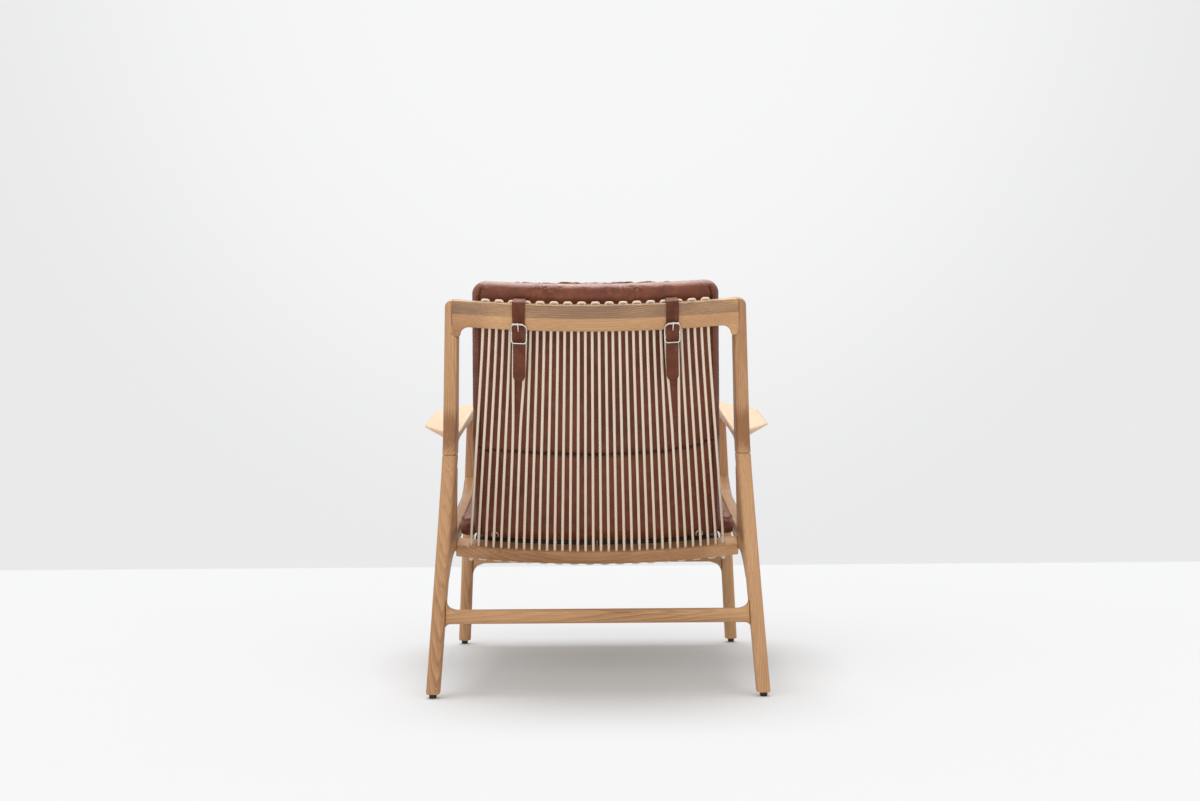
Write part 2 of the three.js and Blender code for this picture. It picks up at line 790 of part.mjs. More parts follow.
// Cross rails between legs: the ends follow the legs' inner faces and flare into them.
function crossRailLoft(spec) {
  const middleZ = spec.top - spec.height / 2;
  const span = outerX(spec.y, middleZ) - spec.legWidth - fit;
  const largest = Math.max(spec.upperRadius, spec.lowerRadius);
  const half = [0, 0.12, 0.36, 1].map((s) => span - largest * s);
  const stations = [...half.map((x) => -x), ...half.reverse()];
  return ringLoft(stations.map((x) => {
    const fromEnd = span - Math.abs(x);
    const up = filletRise(spec.upperRadius, spec.upperRadius - fromEnd);
    const down = filletRise(spec.lowerRadius, spec.lowerRadius - fromEnd);
    const top = spec.top + up;
    const bottom = spec.top - spec.height - down;
    return roundedRectangle(spec.thickness / 2, (top - bottom) / 2, spec.round).map(([u, v]) => {
      const y = spec.y + u;
      const z = (top + bottom) / 2 + v;
      const end = outerX(y, z) - spec.legWidth - fit;
      return new THREE.Vector3((x / span) * end, y, z);
    });
  }));
}

function crossRailTenon(spec, side, grow) {
  const middleZ = spec.top - spec.height / 2;
  const half = spec.height / 2 - tenon.shoulder;
  const point = (w, y, z) => sidePoint(side, w, y, z);
  return block(
    point,
    [spec.legWidth + fit + tenon.shoulder, spec.y - tenon.thickness / 2 - grow, middleZ - half - grow],
    [spec.legWidth - tenon.length - grow, spec.y + tenon.thickness / 2 + grow, middleZ + half + grow],
  );
}

const rearStretcherSpec = {
  y: rearLegCentre(stretcher.rearTop - stretcher.height / 2),
  top: stretcher.rearTop,
  height: stretcher.height,
  thickness: stretcher.thickness,
  upperRadius: stretcher.upperRadius,
  lowerRadius: stretcher.lowerRadius,
  round: stretcher.round,
  legWidth: rearLeg.width,
};

const frontStretcherSpec = {
  ...rearStretcherSpec,
  y: -stance.spacing,
  top: stretcher.frontTop,
  lowerRadius: stretcher.frontLowerRadius,
  legWidth: frontLeg.width,
};

// Seat plane: the top of the webbing, parallel to the side rails.
function webbingTop(y) {
  return seat.rearZ - fit + Math.tan(sideRail.rise) * (seat.rearY - y);
}

const seatFrontY = -stance.spacing - seat.frontAhead;
const seatRailTop = webbingTop(-stance.spacing + seatRail.thickness / 2) - webbing.thickness - fit * 2;
const seatHalfWidth = outerX(-stance.spacing, webbingTop(seatFrontY)) - frontLeg.width - seat.sideGap;
const webbingPitch = ((seatHalfWidth - webbing.sideMargin) * 2 + webbing.gap) / webbing.count;

const seatRailSpec = {
  y: -stance.spacing,
  top: seatRailTop,
  height: seatRail.height,
  thickness: seatRail.thickness,
  upperRadius: seatRail.upperRadius,
  lowerRadius: seatRail.lowerRadius,
  round: seatRail.round,
  legWidth: frontLeg.width,
};

// Webbing: over the front seat rail and down its face, and the same on the lower back rail.
function webbingSolid(index) {
  const x = (index - (webbing.count - 1) / 2) * webbingPitch;
  const half = (webbingPitch - webbing.gap) / 2;
  const midLayer = webbing.thickness / 2;
  const frontEdge = -stance.spacing - seatRail.thickness / 2 - fit - midLayer;
  const slope = -2 * lowerRail.bow * x / lowerRailEndX ** 2;
  const railFace = -lowerRail.ahead + lowerBow(Math.abs(x)) - webbing.railGap - midLayer;
  const faceTop = backPoint(x, 0, railFace);
  const faceLow = backPoint(x, -webbing.turnDown, railFace);
  const topOf = (y) => webbingTop(y) - midLayer;
  const meet = faceTop.y + (topOf(faceTop.y) - faceTop.z) * Math.tan(back.recline);
  const turned = backPoint(1, 0, slope).sub(backPoint(0, 0, 0));
  const level = new THREE.Vector3(1, turned.y, -turned.y * Math.tan(sideRail.rise));
  const straight = new THREE.Vector3(1, 0, 0);
  return stripSolid([
    { at: new THREE.Vector3(x, faceLow.y, faceLow.z), half, across: turned },
    { at: new THREE.Vector3(x, meet, topOf(meet)), half, across: level },
    { at: new THREE.Vector3(x, frontEdge, topOf(frontEdge)), half, across: straight },
    { at: new THREE.Vector3(x, frontEdge, topOf(frontEdge) - webbing.turnDown), half, across: straight },
  ], webbing.thickness);
}

// Cord: up a strand, over the top rail, down the next, under the lower rail, and so on.

const strapX = strap.strandsIn * cord.topPitch;
const barAlong = railBottom - buckle.underRail;
const buckleTop = barAlong + buckle.aboveBar;
const buckleBottom = barAlong - buckle.belowBar;
const tailEnd = buckleBottom - strap.tailLength;
const sewnEnd = topRail.topAlong - strap.sewnDrop;
const firstHole = buckleTop + strap.firstHoleGap;

function cordRoute() {
  const route = [];
  const add = (x, along, behind) => route.push(backPoint(x, along, behind));
  const turn = (fromX, toX, along, outward, bowOf) => {
    const direction = Math.sign(toX - fromX);
    [0, 1, 2].forEach((step) => {
      const angle = (step / 2) * (Math.PI / 2);
      const x = fromX + direction * cord.bendRadius * (1 - Math.cos(angle));
      add(x, along + outward * cord.bendRadius * Math.sin(angle), bowOf(Math.abs(x)));
    });
    [2, 1, 0].forEach((step) => {
      const angle = (step / 2) * (Math.PI / 2);
      const x = toX - direction * cord.bendRadius * (1 - Math.cos(angle));
      add(x, along + outward * cord.bendRadius * Math.sin(angle), bowOf(Math.abs(x)));
    });
  };
  const strand = (i, upward) => {
    const low = { x: lowerHoleX(i), bow: lowerBow(Math.abs(lowerHoleX(i))) };
    const high = { x: topHoleX(i), bow: topBow(Math.abs(topHoleX(i))) };
    const stops = [[low.x, 0, low.bow]];
    const offStrap = Math.abs(Math.abs(high.x) - strapX);
    if (offStrap < cord.topPitch) {
      const away = Math.sign(high.x) * Math.sign(Math.abs(high.x) - strapX);
      [[barAlong - cord.pushFade, 0], [barAlong - buckle.dipDepth, 1]].forEach(([along, share]) => {
        const t = along / railBottom;
        stops.push([lerp(low.x, high.x, t) + away * cord.pushed * share, along, lerp(low.bow, high.bow, t)]);
      });
    }
    stops.push([high.x, railBottom, high.bow]);
    if (!upward) stops.reverse();
    stops.forEach((stop) => add(...stop));
  };
  const firstX = lowerHoleX(0);
  const under = -lowerRail.height;
  [cord.knotLength, cord.knotLength * 0.8, cord.knotLength * 0.3, 0].forEach((drop) => {
    add(firstX, under - fit - drop, lowerBow(Math.abs(firstX)));
  });
  strandIndex.forEach((i) => {
    const upward = i % 2 === 0;
    strand(i, upward);
    if (upward) {
      turn(topHoleX(i), topHoleX(i + 1), cordTop, 1, topBow);
    } else if (i < cord.strands - 1) {
      turn(lowerHoleX(i), lowerHoleX(i + 1), under, -1, lowerBow);
    }
  });
  const lastX = lowerHoleX(cord.strands - 1);
  [0, cord.knotLength * 0.3, cord.knotLength * 0.8, cord.knotLength].forEach((drop) => {
    add(lastX, under - fit - drop, lowerBow(Math.abs(lastX)));
  });
  return route;
}

function segmentGap(a, b, c, d) {
  const line = new THREE.Line3(a, b);
  const other = new THREE.Line3(c, d);
  let least = Infinity;
  const near = new THREE.Vector3();
  for (let i = 0; i <= 8; i += 1) {
    const p = line.at(i / 8, new THREE.Vector3());
    other.closestPointToPoint(p, true, near);
    least = Math.min(least, p.distanceTo(near));
    const q = other.at(i / 8, new THREE.Vector3());
    line.closestPointToPoint(q, true, near);
    least = Math.min(least, q.distanceTo(near));
  }
  return least;
}

// Least gap between stretches of the cord that don't follow on one another.
function leastCordGap(route) {
  let least = Infinity;
  for (let i = 0; i < route.length - 1; i += 1) {
    for (let j = i + 4; j < route.length - 1; j += 1) {
      least = Math.min(least, segmentGap(route[i], route[i + 1], route[j], route[j + 1]));
    }
  }
  return least - cord.radius * 2;
}

function cordSolid() {
  const route = cordRoute();
  console.log('least gap of the cord to itself', leastCordGap(route).toFixed(2), 'mm');
  const last = route.length - 1;
  const radiusAt = (i) => {
    const fromEnd = Math.min(i, last - i);
    if (fromEnd === 1 || fromEnd === 2) return cord.knot;
    return fromEnd === 0 ? cord.knot / 2 : cord.radius;
  };
  const reference = new THREE.Vector3(0, cosBack, -sinBack);
  return tubeSolid(route, radiusAt, 6, reference);
}

// Cushions: a grid over each face with crowned faces, drawn-in sides and round corners.
function cushionSolid(point, spec, acrossSteps, alongSteps) {
  const spread = (i, n) => Math.sin((i / n - 0.5) * Math.PI);
  const rings = [];
  const outline = (u, v) => {
    const width = spec.halfWidthAt(v);
    const r = spec.corner;
    const pastU = Math.max((Math.abs(u) * width - (width - r)) / r, 0);
    const pastV = Math.max((Math.abs(v) * spec.halfLength - (spec.halfLength - r)) / r, 0);
    const inU = pastU * (1 - Math.sqrt(1 - pastV * pastV / 2));
    const inV = pastV * (1 - Math.sqrt(1 - pastU * pastU / 2));
    const across = Math.abs(u) * width - inU * r - Math.abs(u) ** 3 * spec.drawIn * (1 - v * v);
    const along = Math.abs(v) * spec.halfLength - inV * r - Math.abs(v) ** 3 * spec.drawIn * (1 - u * u);
    const rearward = v < 0 ? spec.rearBow * v * v * (1 - u * u) : 0;
    return [Math.sign(u) * across, Math.sign(v) * along - rearward];
  };
  const positions = [];
  const faces = [];
  const push = (u, v, thick) => {
    const [across, along] = outline(u, v);
    const p = point(across, along, thick);
    positions.push(p.x, p.y, p.z);
    return positions.length / 3 - 1;
  };
  const grid = (sign, crown) => {
    const ids = [];
    for (let j = 0; j <= alongSteps; j += 1) {
      const row = [];
      for (let i = 0; i <= acrossSteps; i += 1) {
        const u = spread(i, acrossSteps);
        const v = spread(j, alongSteps);
        const dome = (1 - u ** 4) * (1 - v ** 4);
        const eased = sign < 0 ? spec.rearEase(v) : 1;
        row.push(push(u, v, sign * (spec.border / 2) * 0.8 + crown * eased * dome ** 0.6));
      }
      ids.push(row);
    }
    return ids;
  };
  const faceSide = grid(1, spec.crown);
  const rearSide = grid(-1, -spec.rearCrown);
  const edge = (ids) => {
    const loop = [];
    for (let i = 0; i < acrossSteps; i += 1) loop.push(ids[0][i]);
    for (let j = 0; j < alongSteps; j += 1) loop.push(ids[j][acrossSteps]);
    for (let i = acrossSteps; i > 0; i -= 1) loop.push(ids[alongSteps][i]);
    for (let j = alongSteps; j > 0; j -= 1) loop.push(ids[j][0]);
    return loop;
  };
  for (let j = 0; j < alongSteps; j += 1) {
    for (let i = 0; i < acrossSteps; i += 1) {
      const [a, b, c, d] = [faceSide[j][i], faceSide[j][i + 1], faceSide[j + 1][i + 1], faceSide[j + 1][i]];
      faces.push(a, b, c, a, c, d);
      const [e, f, g, h] = [rearSide[j][i], rearSide[j][i + 1], rearSide[j + 1][i + 1], rearSide[j + 1][i]];
      faces.push(e, g, f, e, h, g);
    }
  }
  const upper = edge(faceSide);
  const lower = edge(rearSide);
  const swell = upper.map((id, index) => {
    const p = new THREE.Vector3().fromArray(positions, id * 3);
    const q = new THREE.Vector3().fromArray(positions, lower[index] * 3);
    const middle = p.clone().add(q).multiplyScalar(1 / 2);
    const out = middle.clone().sub(spec.heart).projectOnPlane(p.clone().sub(q).normalize()).normalize();
    middle.addScaledVector(out, spec.border * 0.16);
    positions.push(middle.x, middle.y, middle.z);
    return positions.length / 3 - 1;
  });
  rings.push(lower, swell, upper);
  for (let k = 0; k < 2; k += 1) {
    for (let i = 0; i < upper.length; i += 1) {
      const n = (i + 1) % upper.length;
      faces.push(rings[k][i], rings[k][n], rings[k + 1][n], rings[k][i], rings[k + 1][n], rings[k + 1][i]);
    }
  }
  return solidFrom(positions, faces);
}

function seatCushion() {
  const length = (seat.rearY - seatFrontY) / Math.cos(sideRail.rise);
  const sin = Math.sin(sideRail.rise);
  const cos = Math.cos(sideRail.rise);
  const point = (across, along, up) => {
    const ahead = length / 2 + along;
    const lifted = up + seat.border * 0.4 + seat.sag;
    return new THREE.Vector3(
      across,
      seat.rearY - ahead * cos + lifted * sin * -1,
      seat.rearZ + ahead * sin + lifted * cos,
    );
  };
  return cushionSolid(point, {
    halfWidthAt: () => seatHalfWidth - seat.border * 0.16,
    halfLength: length / 2 - seat.border * 0.16,
    border: seat.border,
    crown: seat.crown,
    rearCrown: seat.sag,
    rearEase: () => 1,
    drawIn: seat.drawIn,
    corner: seat.corner,
    rearBow: seat.rearBow,
    heart: point(0, 0, 0),
  }, 14, 12);
}

function backCushion() {
  const length = backPadTop - backPad.bottom;
  const middle = (backPadTop + backPad.bottom) / 2;
  const easeEnd = barAlong - backPad.easeGap;
  const rearFace = -topRail.thickness / 2 - fit;
  const bend = (x, along) => lerp(lowerBow(Math.abs(x)), topBow(Math.abs(x)), along / topRail.topAlong);
  const point = (across, along, ahead) => backPoint(
    across,
    middle + along,
    rearFace - strap.thickness - backPad.strapGap - backPad.border * 0.4 - ahead + bend(across, middle + along),
  );
  return cushionSolid(point, {
    halfWidthAt: (v) => lerp(backPad.lowerHalfWidth, backPad.upperHalfWidth, (v + 1) / 2) - backPad.border * 0.16,
    halfLength: length / 2 - backPad.border * 0.16,
    border: backPad.border,
    crown: backPad.crown,
    rearCrown: backPad.rearCrown,
    rearEase: (v) => 1 - THREE.MathUtils.smoothstep(middle + v * length / 2, easeEnd - backPad.easeLength, easeEnd),
    drawIn: backPad.drawIn,
    corner: backPad.corner,
    rearBow: 0,
    heart: point(0, 0, 0),
  }, 14, 12);
}

// Straps and buckles. Along and behind are measured at the strap, where the rail stands behind by its bow.

function turnedFrame(x, bowHere, slope) {
  const turn = Math.atan(slope);
  return (across, along, behind) => backPoint(
    x + across * Math.cos(turn) - behind * Math.sin(turn),
    along,
    bowHere + across * Math.sin(turn) + behind * Math.cos(turn),
  );
}

function strapFrame(side) {
  return turnedFrame(side * strapX, topBow(strapX), (-2 * side * topRail.bow * strapX) / railInnerX ** 2);
}

function ringFrame(side) {
  return turnedFrame(side * ring.x, lowerBow(ring.x), (-2 * side * lowerRail.bow * ring.x) / lowerRailEndX ** 2);
}

function acrossOf(point) {
  return new THREE.Vector3().subVectors(point(1, 0, 0), point(0, 0, 0));
}

const layer = strap.thickness / 2;
const railRear = topRail.thickness / 2;
const underTopBar = railRear + fit + layer + 0.6 * fit;
const overMiddleBar = buckle.barBehind + buckle.wire + fit + strap.thickness + fit + layer;

function strapRoute(point) {
  const full = strap.width / 2;
  const overCord = cordTop + cord.bendRadius + cord.radius + fit + layer;
  const frontTop = topRail.topAlong - topLoss(-railRear);
  const ahead = -railRear - fit - layer;
  const tip = buckleBottom - tailEnd;
  const tail = (share) => underTopBar + (share ** 2) * tip * strap.curlShare;
  const stops = [
    [tail(1), tailEnd, full * 0.3],
    [tail(0.96), tailEnd + tip * 0.045, full * 0.72],
    [tail(0.86), tailEnd + tip * 0.14, full * 0.96],
    [tail(0.7), tailEnd + tip * 0.3, full],
    [tail(0.35), tailEnd + tip * 0.65, full],
    [tail(0), buckleBottom, full],
    [tail(0), buckleBottom + buckle.wire * 2, full],
    [overMiddleBar - fit * 2, barAlong - tenon.shoulder, full],
    [overMiddleBar, barAlong, full],
    [overMiddleBar - fit * 2, barAlong + tenon.shoulder, full],
    [underTopBar, buckleTop - buckle.wire, full],
    [underTopBar, topRail.topAlong - topRail.round, full],
    [underTopBar - topRail.round * 0.35, topRail.topAlong + topRail.round * 0.35, full],
    [cord.radius, overCord, full],
    [-cord.radius, overCord, full],
    [ahead + topRail.round * 0.35, frontTop + topRail.round * 0.6, full],
    [ahead, frontTop - topRail.round, full],
    [ahead, sewnEnd, full],
  ];
  const across = acrossOf(point);
  return stops.map(([behind, along, half]) => ({ at: point(0, along, behind), half, across }));
}

function strapSolid(side) {
  const point = strapFrame(side);
  const body = stripSolid(strapRoute(point), strap.thickness);
  const across = railRear + overrun * 3;
  const holes = Array.from({ length: strap.holes }, (_, i) => cylinderSolid(
    point(0, firstHole + i * strap.holePitch, railRear - overrun),
    point(0, firstHole + i * strap.holePitch, across),
    strap.holeRadius,
    8,
  ));
  const slot = block(
    point,
    [-buckle.prong - fit * 3, barAlong - buckle.wire * 2, buckle.barBehind],
    [buckle.prong + fit * 3, buckleTop - buckle.wire * 2.4, overMiddleBar + overrun],
  );
  return body.subtract(wasm.Manifold.union([...holes.slice(0, strap.holes - 1), slot]));
}

// The short strap that holds the buckle: sewn to the cushion, through the cord and round the middle bar.
function buckleStrapSolid(side) {
  const point = strapFrame(side);
  const half = strap.width / 2;
  const neck = strap.neck / 2;
  const wrap = buckle.wire + fit + layer;
  const low = barAlong - wrap;
  const ahead = -railRear - fit - layer;
  const stops = [
    [ahead, low - strap.width * 1.6, half],
    [ahead, low - layer, half],
    [ahead + layer * 2, low, neck],
    [cord.radius * 2.2, low, neck],
    [cord.radius * 2.9, low, half],
    [buckle.barBehind, low, half],
  ];
  for (let i = 1; i <= 4; i += 1) {
    const angle = (i / 4) * Math.PI;
    stops.push([
      buckle.barBehind + wrap * Math.sin(angle),
      barAlong - wrap * Math.cos(angle),
      half,
    ]);
  }
  stops.push([buckle.barBehind - wrap * 1.6, barAlong + wrap * 0.78, half]);
  const across = acrossOf(point);
  const body = stripSolid(
    stops.map(([behind, along, width]) => ({ at: point(0, along, behind), half: width, across })),
    strap.thickness,
  );
  const gap = buckle.eyeWidth / 2 + fit;
  const slot = block(
    point,
    [-gap, low - overrun, buckle.barBehind - buckle.wire * 3],
    [gap, barAlong + wrap + overrun, buckle.barBehind + wrap + overrun],
  );
  return body.subtract(slot);
}

function buckleFrameSolid(side) {
  const point = strapFrame(side);
  const reach = buckle.width / 2 - buckle.wire;
  const high = buckleTop;
  const low = buckleBottom;
  const behindAt = (along) => buckle.barBehind + buckle.dipDepth * ((along - barAlong) / buckle.dipLength) ** 2;
  const corners = [
    [reach, high, buckle.topRound, 0],
    [-reach, high, buckle.topRound, 1],
    [-reach, low, buckle.bottomRound, 2],
    [reach, low, buckle.bottomRound, 3],
  ];
  const route = [];
  corners.forEach(([x, along, round, quarter]) => {
    const centreX = x - Math.sign(x) * round;
    const centreAlong = along - (quarter < 2 ? round : -round);
    [0, 1, 2, 3].forEach((step) => {
      const angle = (quarter + step / 3) * (Math.PI / 2);
      const height = centreAlong + round * Math.sin(angle);
      route.push(point(centreX + round * Math.cos(angle), height, behindAt(height)));
    });
    if (quarter === 1) {
      route.push(point(-reach, lerp(high, barAlong, 0.7), behindAt(lerp(high, barAlong, 0.7))));
      route.push(point(-reach, barAlong, buckle.barBehind));
    }
    if (quarter === 3) {
      route.push(point(reach, barAlong, buckle.barBehind));
      route.push(point(reach, lerp(high, barAlong, 0.7), behindAt(lerp(high, barAlong, 0.7))));
    }
  });
  const reference = new THREE.Vector3(0, cosBack, -sinBack);
  const loop = tubeSolid(route, () => buckle.wire, 6, reference, true);
  const bar = cylinderSolid(
    point(-reach, barAlong, buckle.barBehind),
    point(reach, barAlong, buckle.barBehind),
    buckle.wire,
    8,
  );
  return loop.add(bar);
}

function buckleProngSolid(side) {
  const point = strapFrame(side);
  const eyeOuter = buckle.wire + fit + buckle.prong * 1.5;
  const topBehind = buckle.barBehind
    + buckle.dipDepth * ((buckleTop - barAlong) / buckle.dipLength) ** 2;
  const overBar = topBehind + buckle.wire + fit + buckle.prong;
  const route = [
    [buckle.barBehind + buckle.wire + fit + buckle.prong * 0.8, barAlong + buckle.wire],
    [overBar - buckle.prong * 2, lerp(barAlong, buckleTop, 0.55)],
    [overBar, buckleTop],
    [overBar - buckle.prong * 0.4, buckleTop + buckle.prongPast],
  ].map(([behind, along]) => point(0, along, behind));
  const shaft = tubeSolid(route, (i) => (i === 3 ? buckle.prong * 0.6 : buckle.prong), 6, new THREE.Vector3(1, 0, 0));
  const left = -buckle.eyeWidth / 2;
  const eye = cylinderSolid(
    point(left, barAlong, buckle.barBehind),
    point(-left, barAlong, buckle.barBehind),
    eyeOuter,
    12,
  );
  const bore = cylinderSolid(
    point(left - overrun, barAlong, buckle.barBehind),
    point(-left + overrun, barAlong, buckle.barBehind),
    buckle.wire + fit,
    12,
  );
  return eye.add(shaft).subtract(bore);
}

// Rings low on the back cushion

function ringSolid(side) {
  const point = ringFrame(side);
  const put = (across, along) => point(across, ring.along + along, ring.behind);
  const arcSteps = 8;
  const arc = Array.from({ length: arcSteps + 1 }, (_, i) => {
    const angle = (i / arcSteps) * Math.PI;
    return put(ring.radius * Math.cos(angle), ring.radius * Math.sin(angle));
  });
  const corner = ring.radius * 0.2;
  const flat = [
    [-ring.radius, -ring.drop + corner], [-ring.radius + corner, -ring.drop],
    [ring.radius - corner, -ring.drop], [ring.radius, -ring.drop + corner],
  ].map(([across, along]) => put(across, along));
  return tubeSolid([...arc, ...flat], () => ring.wire, 6, new THREE.Vector3(0, cosBack, -sinBack), true);
}

// A leather tab sewn to the cushion's rear face, looped round the ring's flat bar.
function ringTabSolid(side) {
  const point = ringFrame(side);
  const bar = ring.along - ring.drop;
  const wrap = ring.wire + fit + ring.tabThickness / 2;
  const gap = ring.behind - ring.seatBehind;
  const stops = [
    [ring.seatBehind, bar + ring.tabLength],
    [ring.seatBehind, bar + ring.tabLength / 2],
    [ring.seatBehind + gap * 0.25, bar + wrap * 1.4],
  ];
  for (let i = -1; i <= 4; i += 1) {
    const angle = (i / 4) * Math.PI;
    stops.push([ring.behind + wrap * Math.sin(angle), bar + wrap * Math.cos(angle)]);
  }
  stops.push([ring.behind - gap * 0.75, bar - wrap]);
  const across = acrossOf(point);
  return stripSolid(
    stops.map(([behind, along]) => ({ at: point(0, along, behind), half: ring.tabWidth / 2, across })),
    ring.tabThickness,
  );
}

// Glides

function glideSolid(centre) {
  const g = glide;
  const profile = [
    [g.bore, g.recessDepth], [g.recess, g.recessDepth], [g.recess, 0], [g.radius - g.footTaper, 0],
    [g.radius, g.footTaper], [g.radius, g.height], [g.bore, g.height], [g.bore, g.recessDepth],
  ].map(([r, z]) => new THREE.Vector2(r, z));
  const stand = new THREE.Matrix4().makeTranslation(centre.x, centre.y, 0)
    .multiply(new THREE.Matrix4().makeRotationX(Math.PI / 2));
  return solidFromGeometry(new THREE.LatheGeometry(profile, 12), stand);
}

function pinSolid(centre, grow) {
  const g = glide;
  const headTop = g.recessDepth - fit;
  const profile = [
    [0, headTop - g.pinHead], [g.pinHeadRadius, headTop - g.pinHead], [g.pinHeadRadius, headTop],
    [g.pinRadius + grow, headTop], [g.pinRadius + grow, g.pinLength - g.pinRadius], [0, g.pinLength + grow],
  ].map(([r, z]) => new THREE.Vector2(r, z));
  const stand = new THREE.Matrix4().makeTranslation(centre.x, centre.y, 0)
    .multiply(new THREE.Matrix4().makeRotationX(Math.PI / 2));
  return solidFromGeometry(new THREE.LatheGeometry(profile, 8), stand);
}

const rearGlideY = rearLegCentre(glide.height);
const glidePlace = (side, y, width) => sidePoint(side, width / 2, y, 0);

// Assembly

const pieces = [];
const place = (name, solid, material) => pieces.push({ name, solid, material });

const sides = [['left', 1], ['right', -1]];

let topRailSolid = topRailLoft(0);
sides.forEach(([, side]) => {
  topRailSolid = topRailSolid.add(topRailTenon(side, 0));
});
topRailSolid = drill(topRailSolid, topHoleX, topBow, topRail.topAlong - topRail.height, topRail.topAlong);
place('top_rail', topRailSolid, railOak);

let lowerRailSolid = lowerRailLoft();
sides.forEach(([, side]) => {
  lowerRailSolid = lowerRailSolid.add(lowerRailTenon(side, 0));
});
lowerRailSolid = drill(lowerRailSolid, lowerHoleX, lowerBow, -lowerRail.height, 0);
place('lower_back_rail', lowerRailSolid, railOak);

[['rear_stretcher', rearStretcherSpec], ['front_stretcher', frontStretcherSpec], ['front_seat_rail', seatRailSpec]]
  .forEach(([name, spec]) => {
    const solid = sides.reduce((sum, [, side]) => sum.add(crossRailTenon(spec, side, 0)), crossRailLoft(spec));
    place(name, solid, railOak);
  });

sides.forEach(([word, side]) => {
  const rearCentre = glidePlace(side, rearGlideY, rearLeg.width);
  const frontCentre = glidePlace(side, -stance.spacing, frontLeg.width);
  const play = tenon.bore;
  const armBody = armLoft(side, 0);
  const armGrown = armLoft(side, fit);
  const postGrown = postLoft(side, fit);

  const leg = rearLegLoft(side, 0, glide.height + fit, elbowZ - fit / 2)
    .add(earLoft(side, 0))
    .subtract(crossRailTenon(rearStretcherSpec, side, play))
    .subtract(sideRailTenon(side, play, false))
    .subtract(lowerRailTenon(side, play))
    .subtract(pinSolid(rearCentre, play));
  place(`rear_leg_${word}`, leg, legOak);

  const postBody = postLoft(side, 0)
    .subtract(topRailLoft(fit))
    .subtract(topRailTenon(side, play))
    .subtract(armTenon(side, play));
  place(`back_post_${word}`, postBody, legOak);

  const rail = sideRailLoft(side)
    .subtract(frontLegLoft(side, fit))
    .add(sideRailTenon(side, 0, false))
    .add(sideRailTenon(side, 0, true))
    .subtract(lowerRailTenon(side, play));
  place(`side_rail_${word}`, rail, railOak);

  const front = frontLegLoft(side, 0)
    .subtract(armGrown)
    .add(frontLegDowel(side, 0))
    .subtract(sideRailTenon(side, play, true))
    .subtract(crossRailTenon(frontStretcherSpec, side, play))
    .subtract(crossRailTenon(seatRailSpec, side, play))
    .subtract(pinSolid(frontCentre, play));
  place(`front_leg_${word}`, front, legOak);

  const armPiece = armBody
    .subtract(postGrown)
    .add(armTenon(side, 0))
    .subtract(frontLegDowel(side, play));
  place(`armrest_${word}`, armPiece, armOak);

  place(`glide_rear_${word}`, glideSolid(rearCentre), blackFoot);
  place(`glide_pin_rear_${word}`, pinSolid(rearCentre, 0), steel);
  place(`glide_front_${word}`, glideSolid(frontCentre), blackFoot);
  place(`glide_pin_front_${word}`, pinSolid(frontCentre, 0), steel);

  place(`strap_${word}`, strapSolid(side), strapLeather);
  place(`buckle_strap_${word}`, buckleStrapSolid(side), strapLeather);
  place(`buckle_frame_${word}`, buckleFrameSolid(side), nickel);
  place(`buckle_prong_${word}`, buckleProngSolid(side), nickel);
  place(`ring_${word}`, ringSolid(side), nickel);
  place(`ring_tab_${word}`, ringTabSolid(side), strapLeather);
});

place('back_cord', cordSolid(), cotton);
for (let i = 0; i < webbing.count; i += 1) place(`seat_webbing_${i + 1}`, webbingSolid(i), web);
place('seat_cushion', seatCushion(), leather);
place('back_cushion', backCushion(), leather);

// The outline's middle goes over the origin.
const chair = new THREE.Group();
chair.name = 'lounge_chair';
const shifted = new THREE.Group();
pieces.forEach(({ name, solid, material }) => {
  const mesh = new THREE.Mesh(geometryFrom(solid), material);
  mesh.name = name;
  shifted.add(mesh);
});
const outlineBox = new THREE.Box3().setFromObject(shifted);
shifted.position.y = -(outlineBox.min.y + outlineBox.max.y) / 2;
chair.add(shifted);
chair.updateMatrixWorld(true);

export default chair;
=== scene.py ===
import math

import bmesh
import bpy
from mathutils import Matrix, Vector
from mathutils.bvhtree import BVHTree
from mathutils.kdtree import KDTree


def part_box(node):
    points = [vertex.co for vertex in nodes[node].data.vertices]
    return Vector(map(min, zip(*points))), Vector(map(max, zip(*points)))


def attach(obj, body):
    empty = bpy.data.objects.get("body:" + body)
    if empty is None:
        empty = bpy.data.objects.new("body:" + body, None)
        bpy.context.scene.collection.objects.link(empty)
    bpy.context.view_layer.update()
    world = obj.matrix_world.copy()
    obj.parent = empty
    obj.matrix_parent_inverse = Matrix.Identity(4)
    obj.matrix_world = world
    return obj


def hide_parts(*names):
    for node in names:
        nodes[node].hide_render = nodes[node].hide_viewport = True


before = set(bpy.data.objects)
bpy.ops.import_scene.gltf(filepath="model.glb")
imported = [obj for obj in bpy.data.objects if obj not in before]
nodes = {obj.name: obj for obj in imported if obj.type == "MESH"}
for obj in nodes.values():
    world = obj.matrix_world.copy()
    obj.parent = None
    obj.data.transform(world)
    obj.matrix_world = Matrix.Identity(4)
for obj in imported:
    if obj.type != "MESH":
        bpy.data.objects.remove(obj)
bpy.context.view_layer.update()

MM = 0.001
DEGREE = math.pi / 180

# Camera

PHOTO_WIDTH = 1200            # pixels
MIDDLE_COLUMN = 596.1         # pixel column of the chair's middle
FOCAL_PIXELS = 1657.5
SENSOR = 36                   # mm
CAMERA_PLACE = Vector((0, 3.6316, 0.582))
CAMERA_ROLL = -0.42 * DEGREE


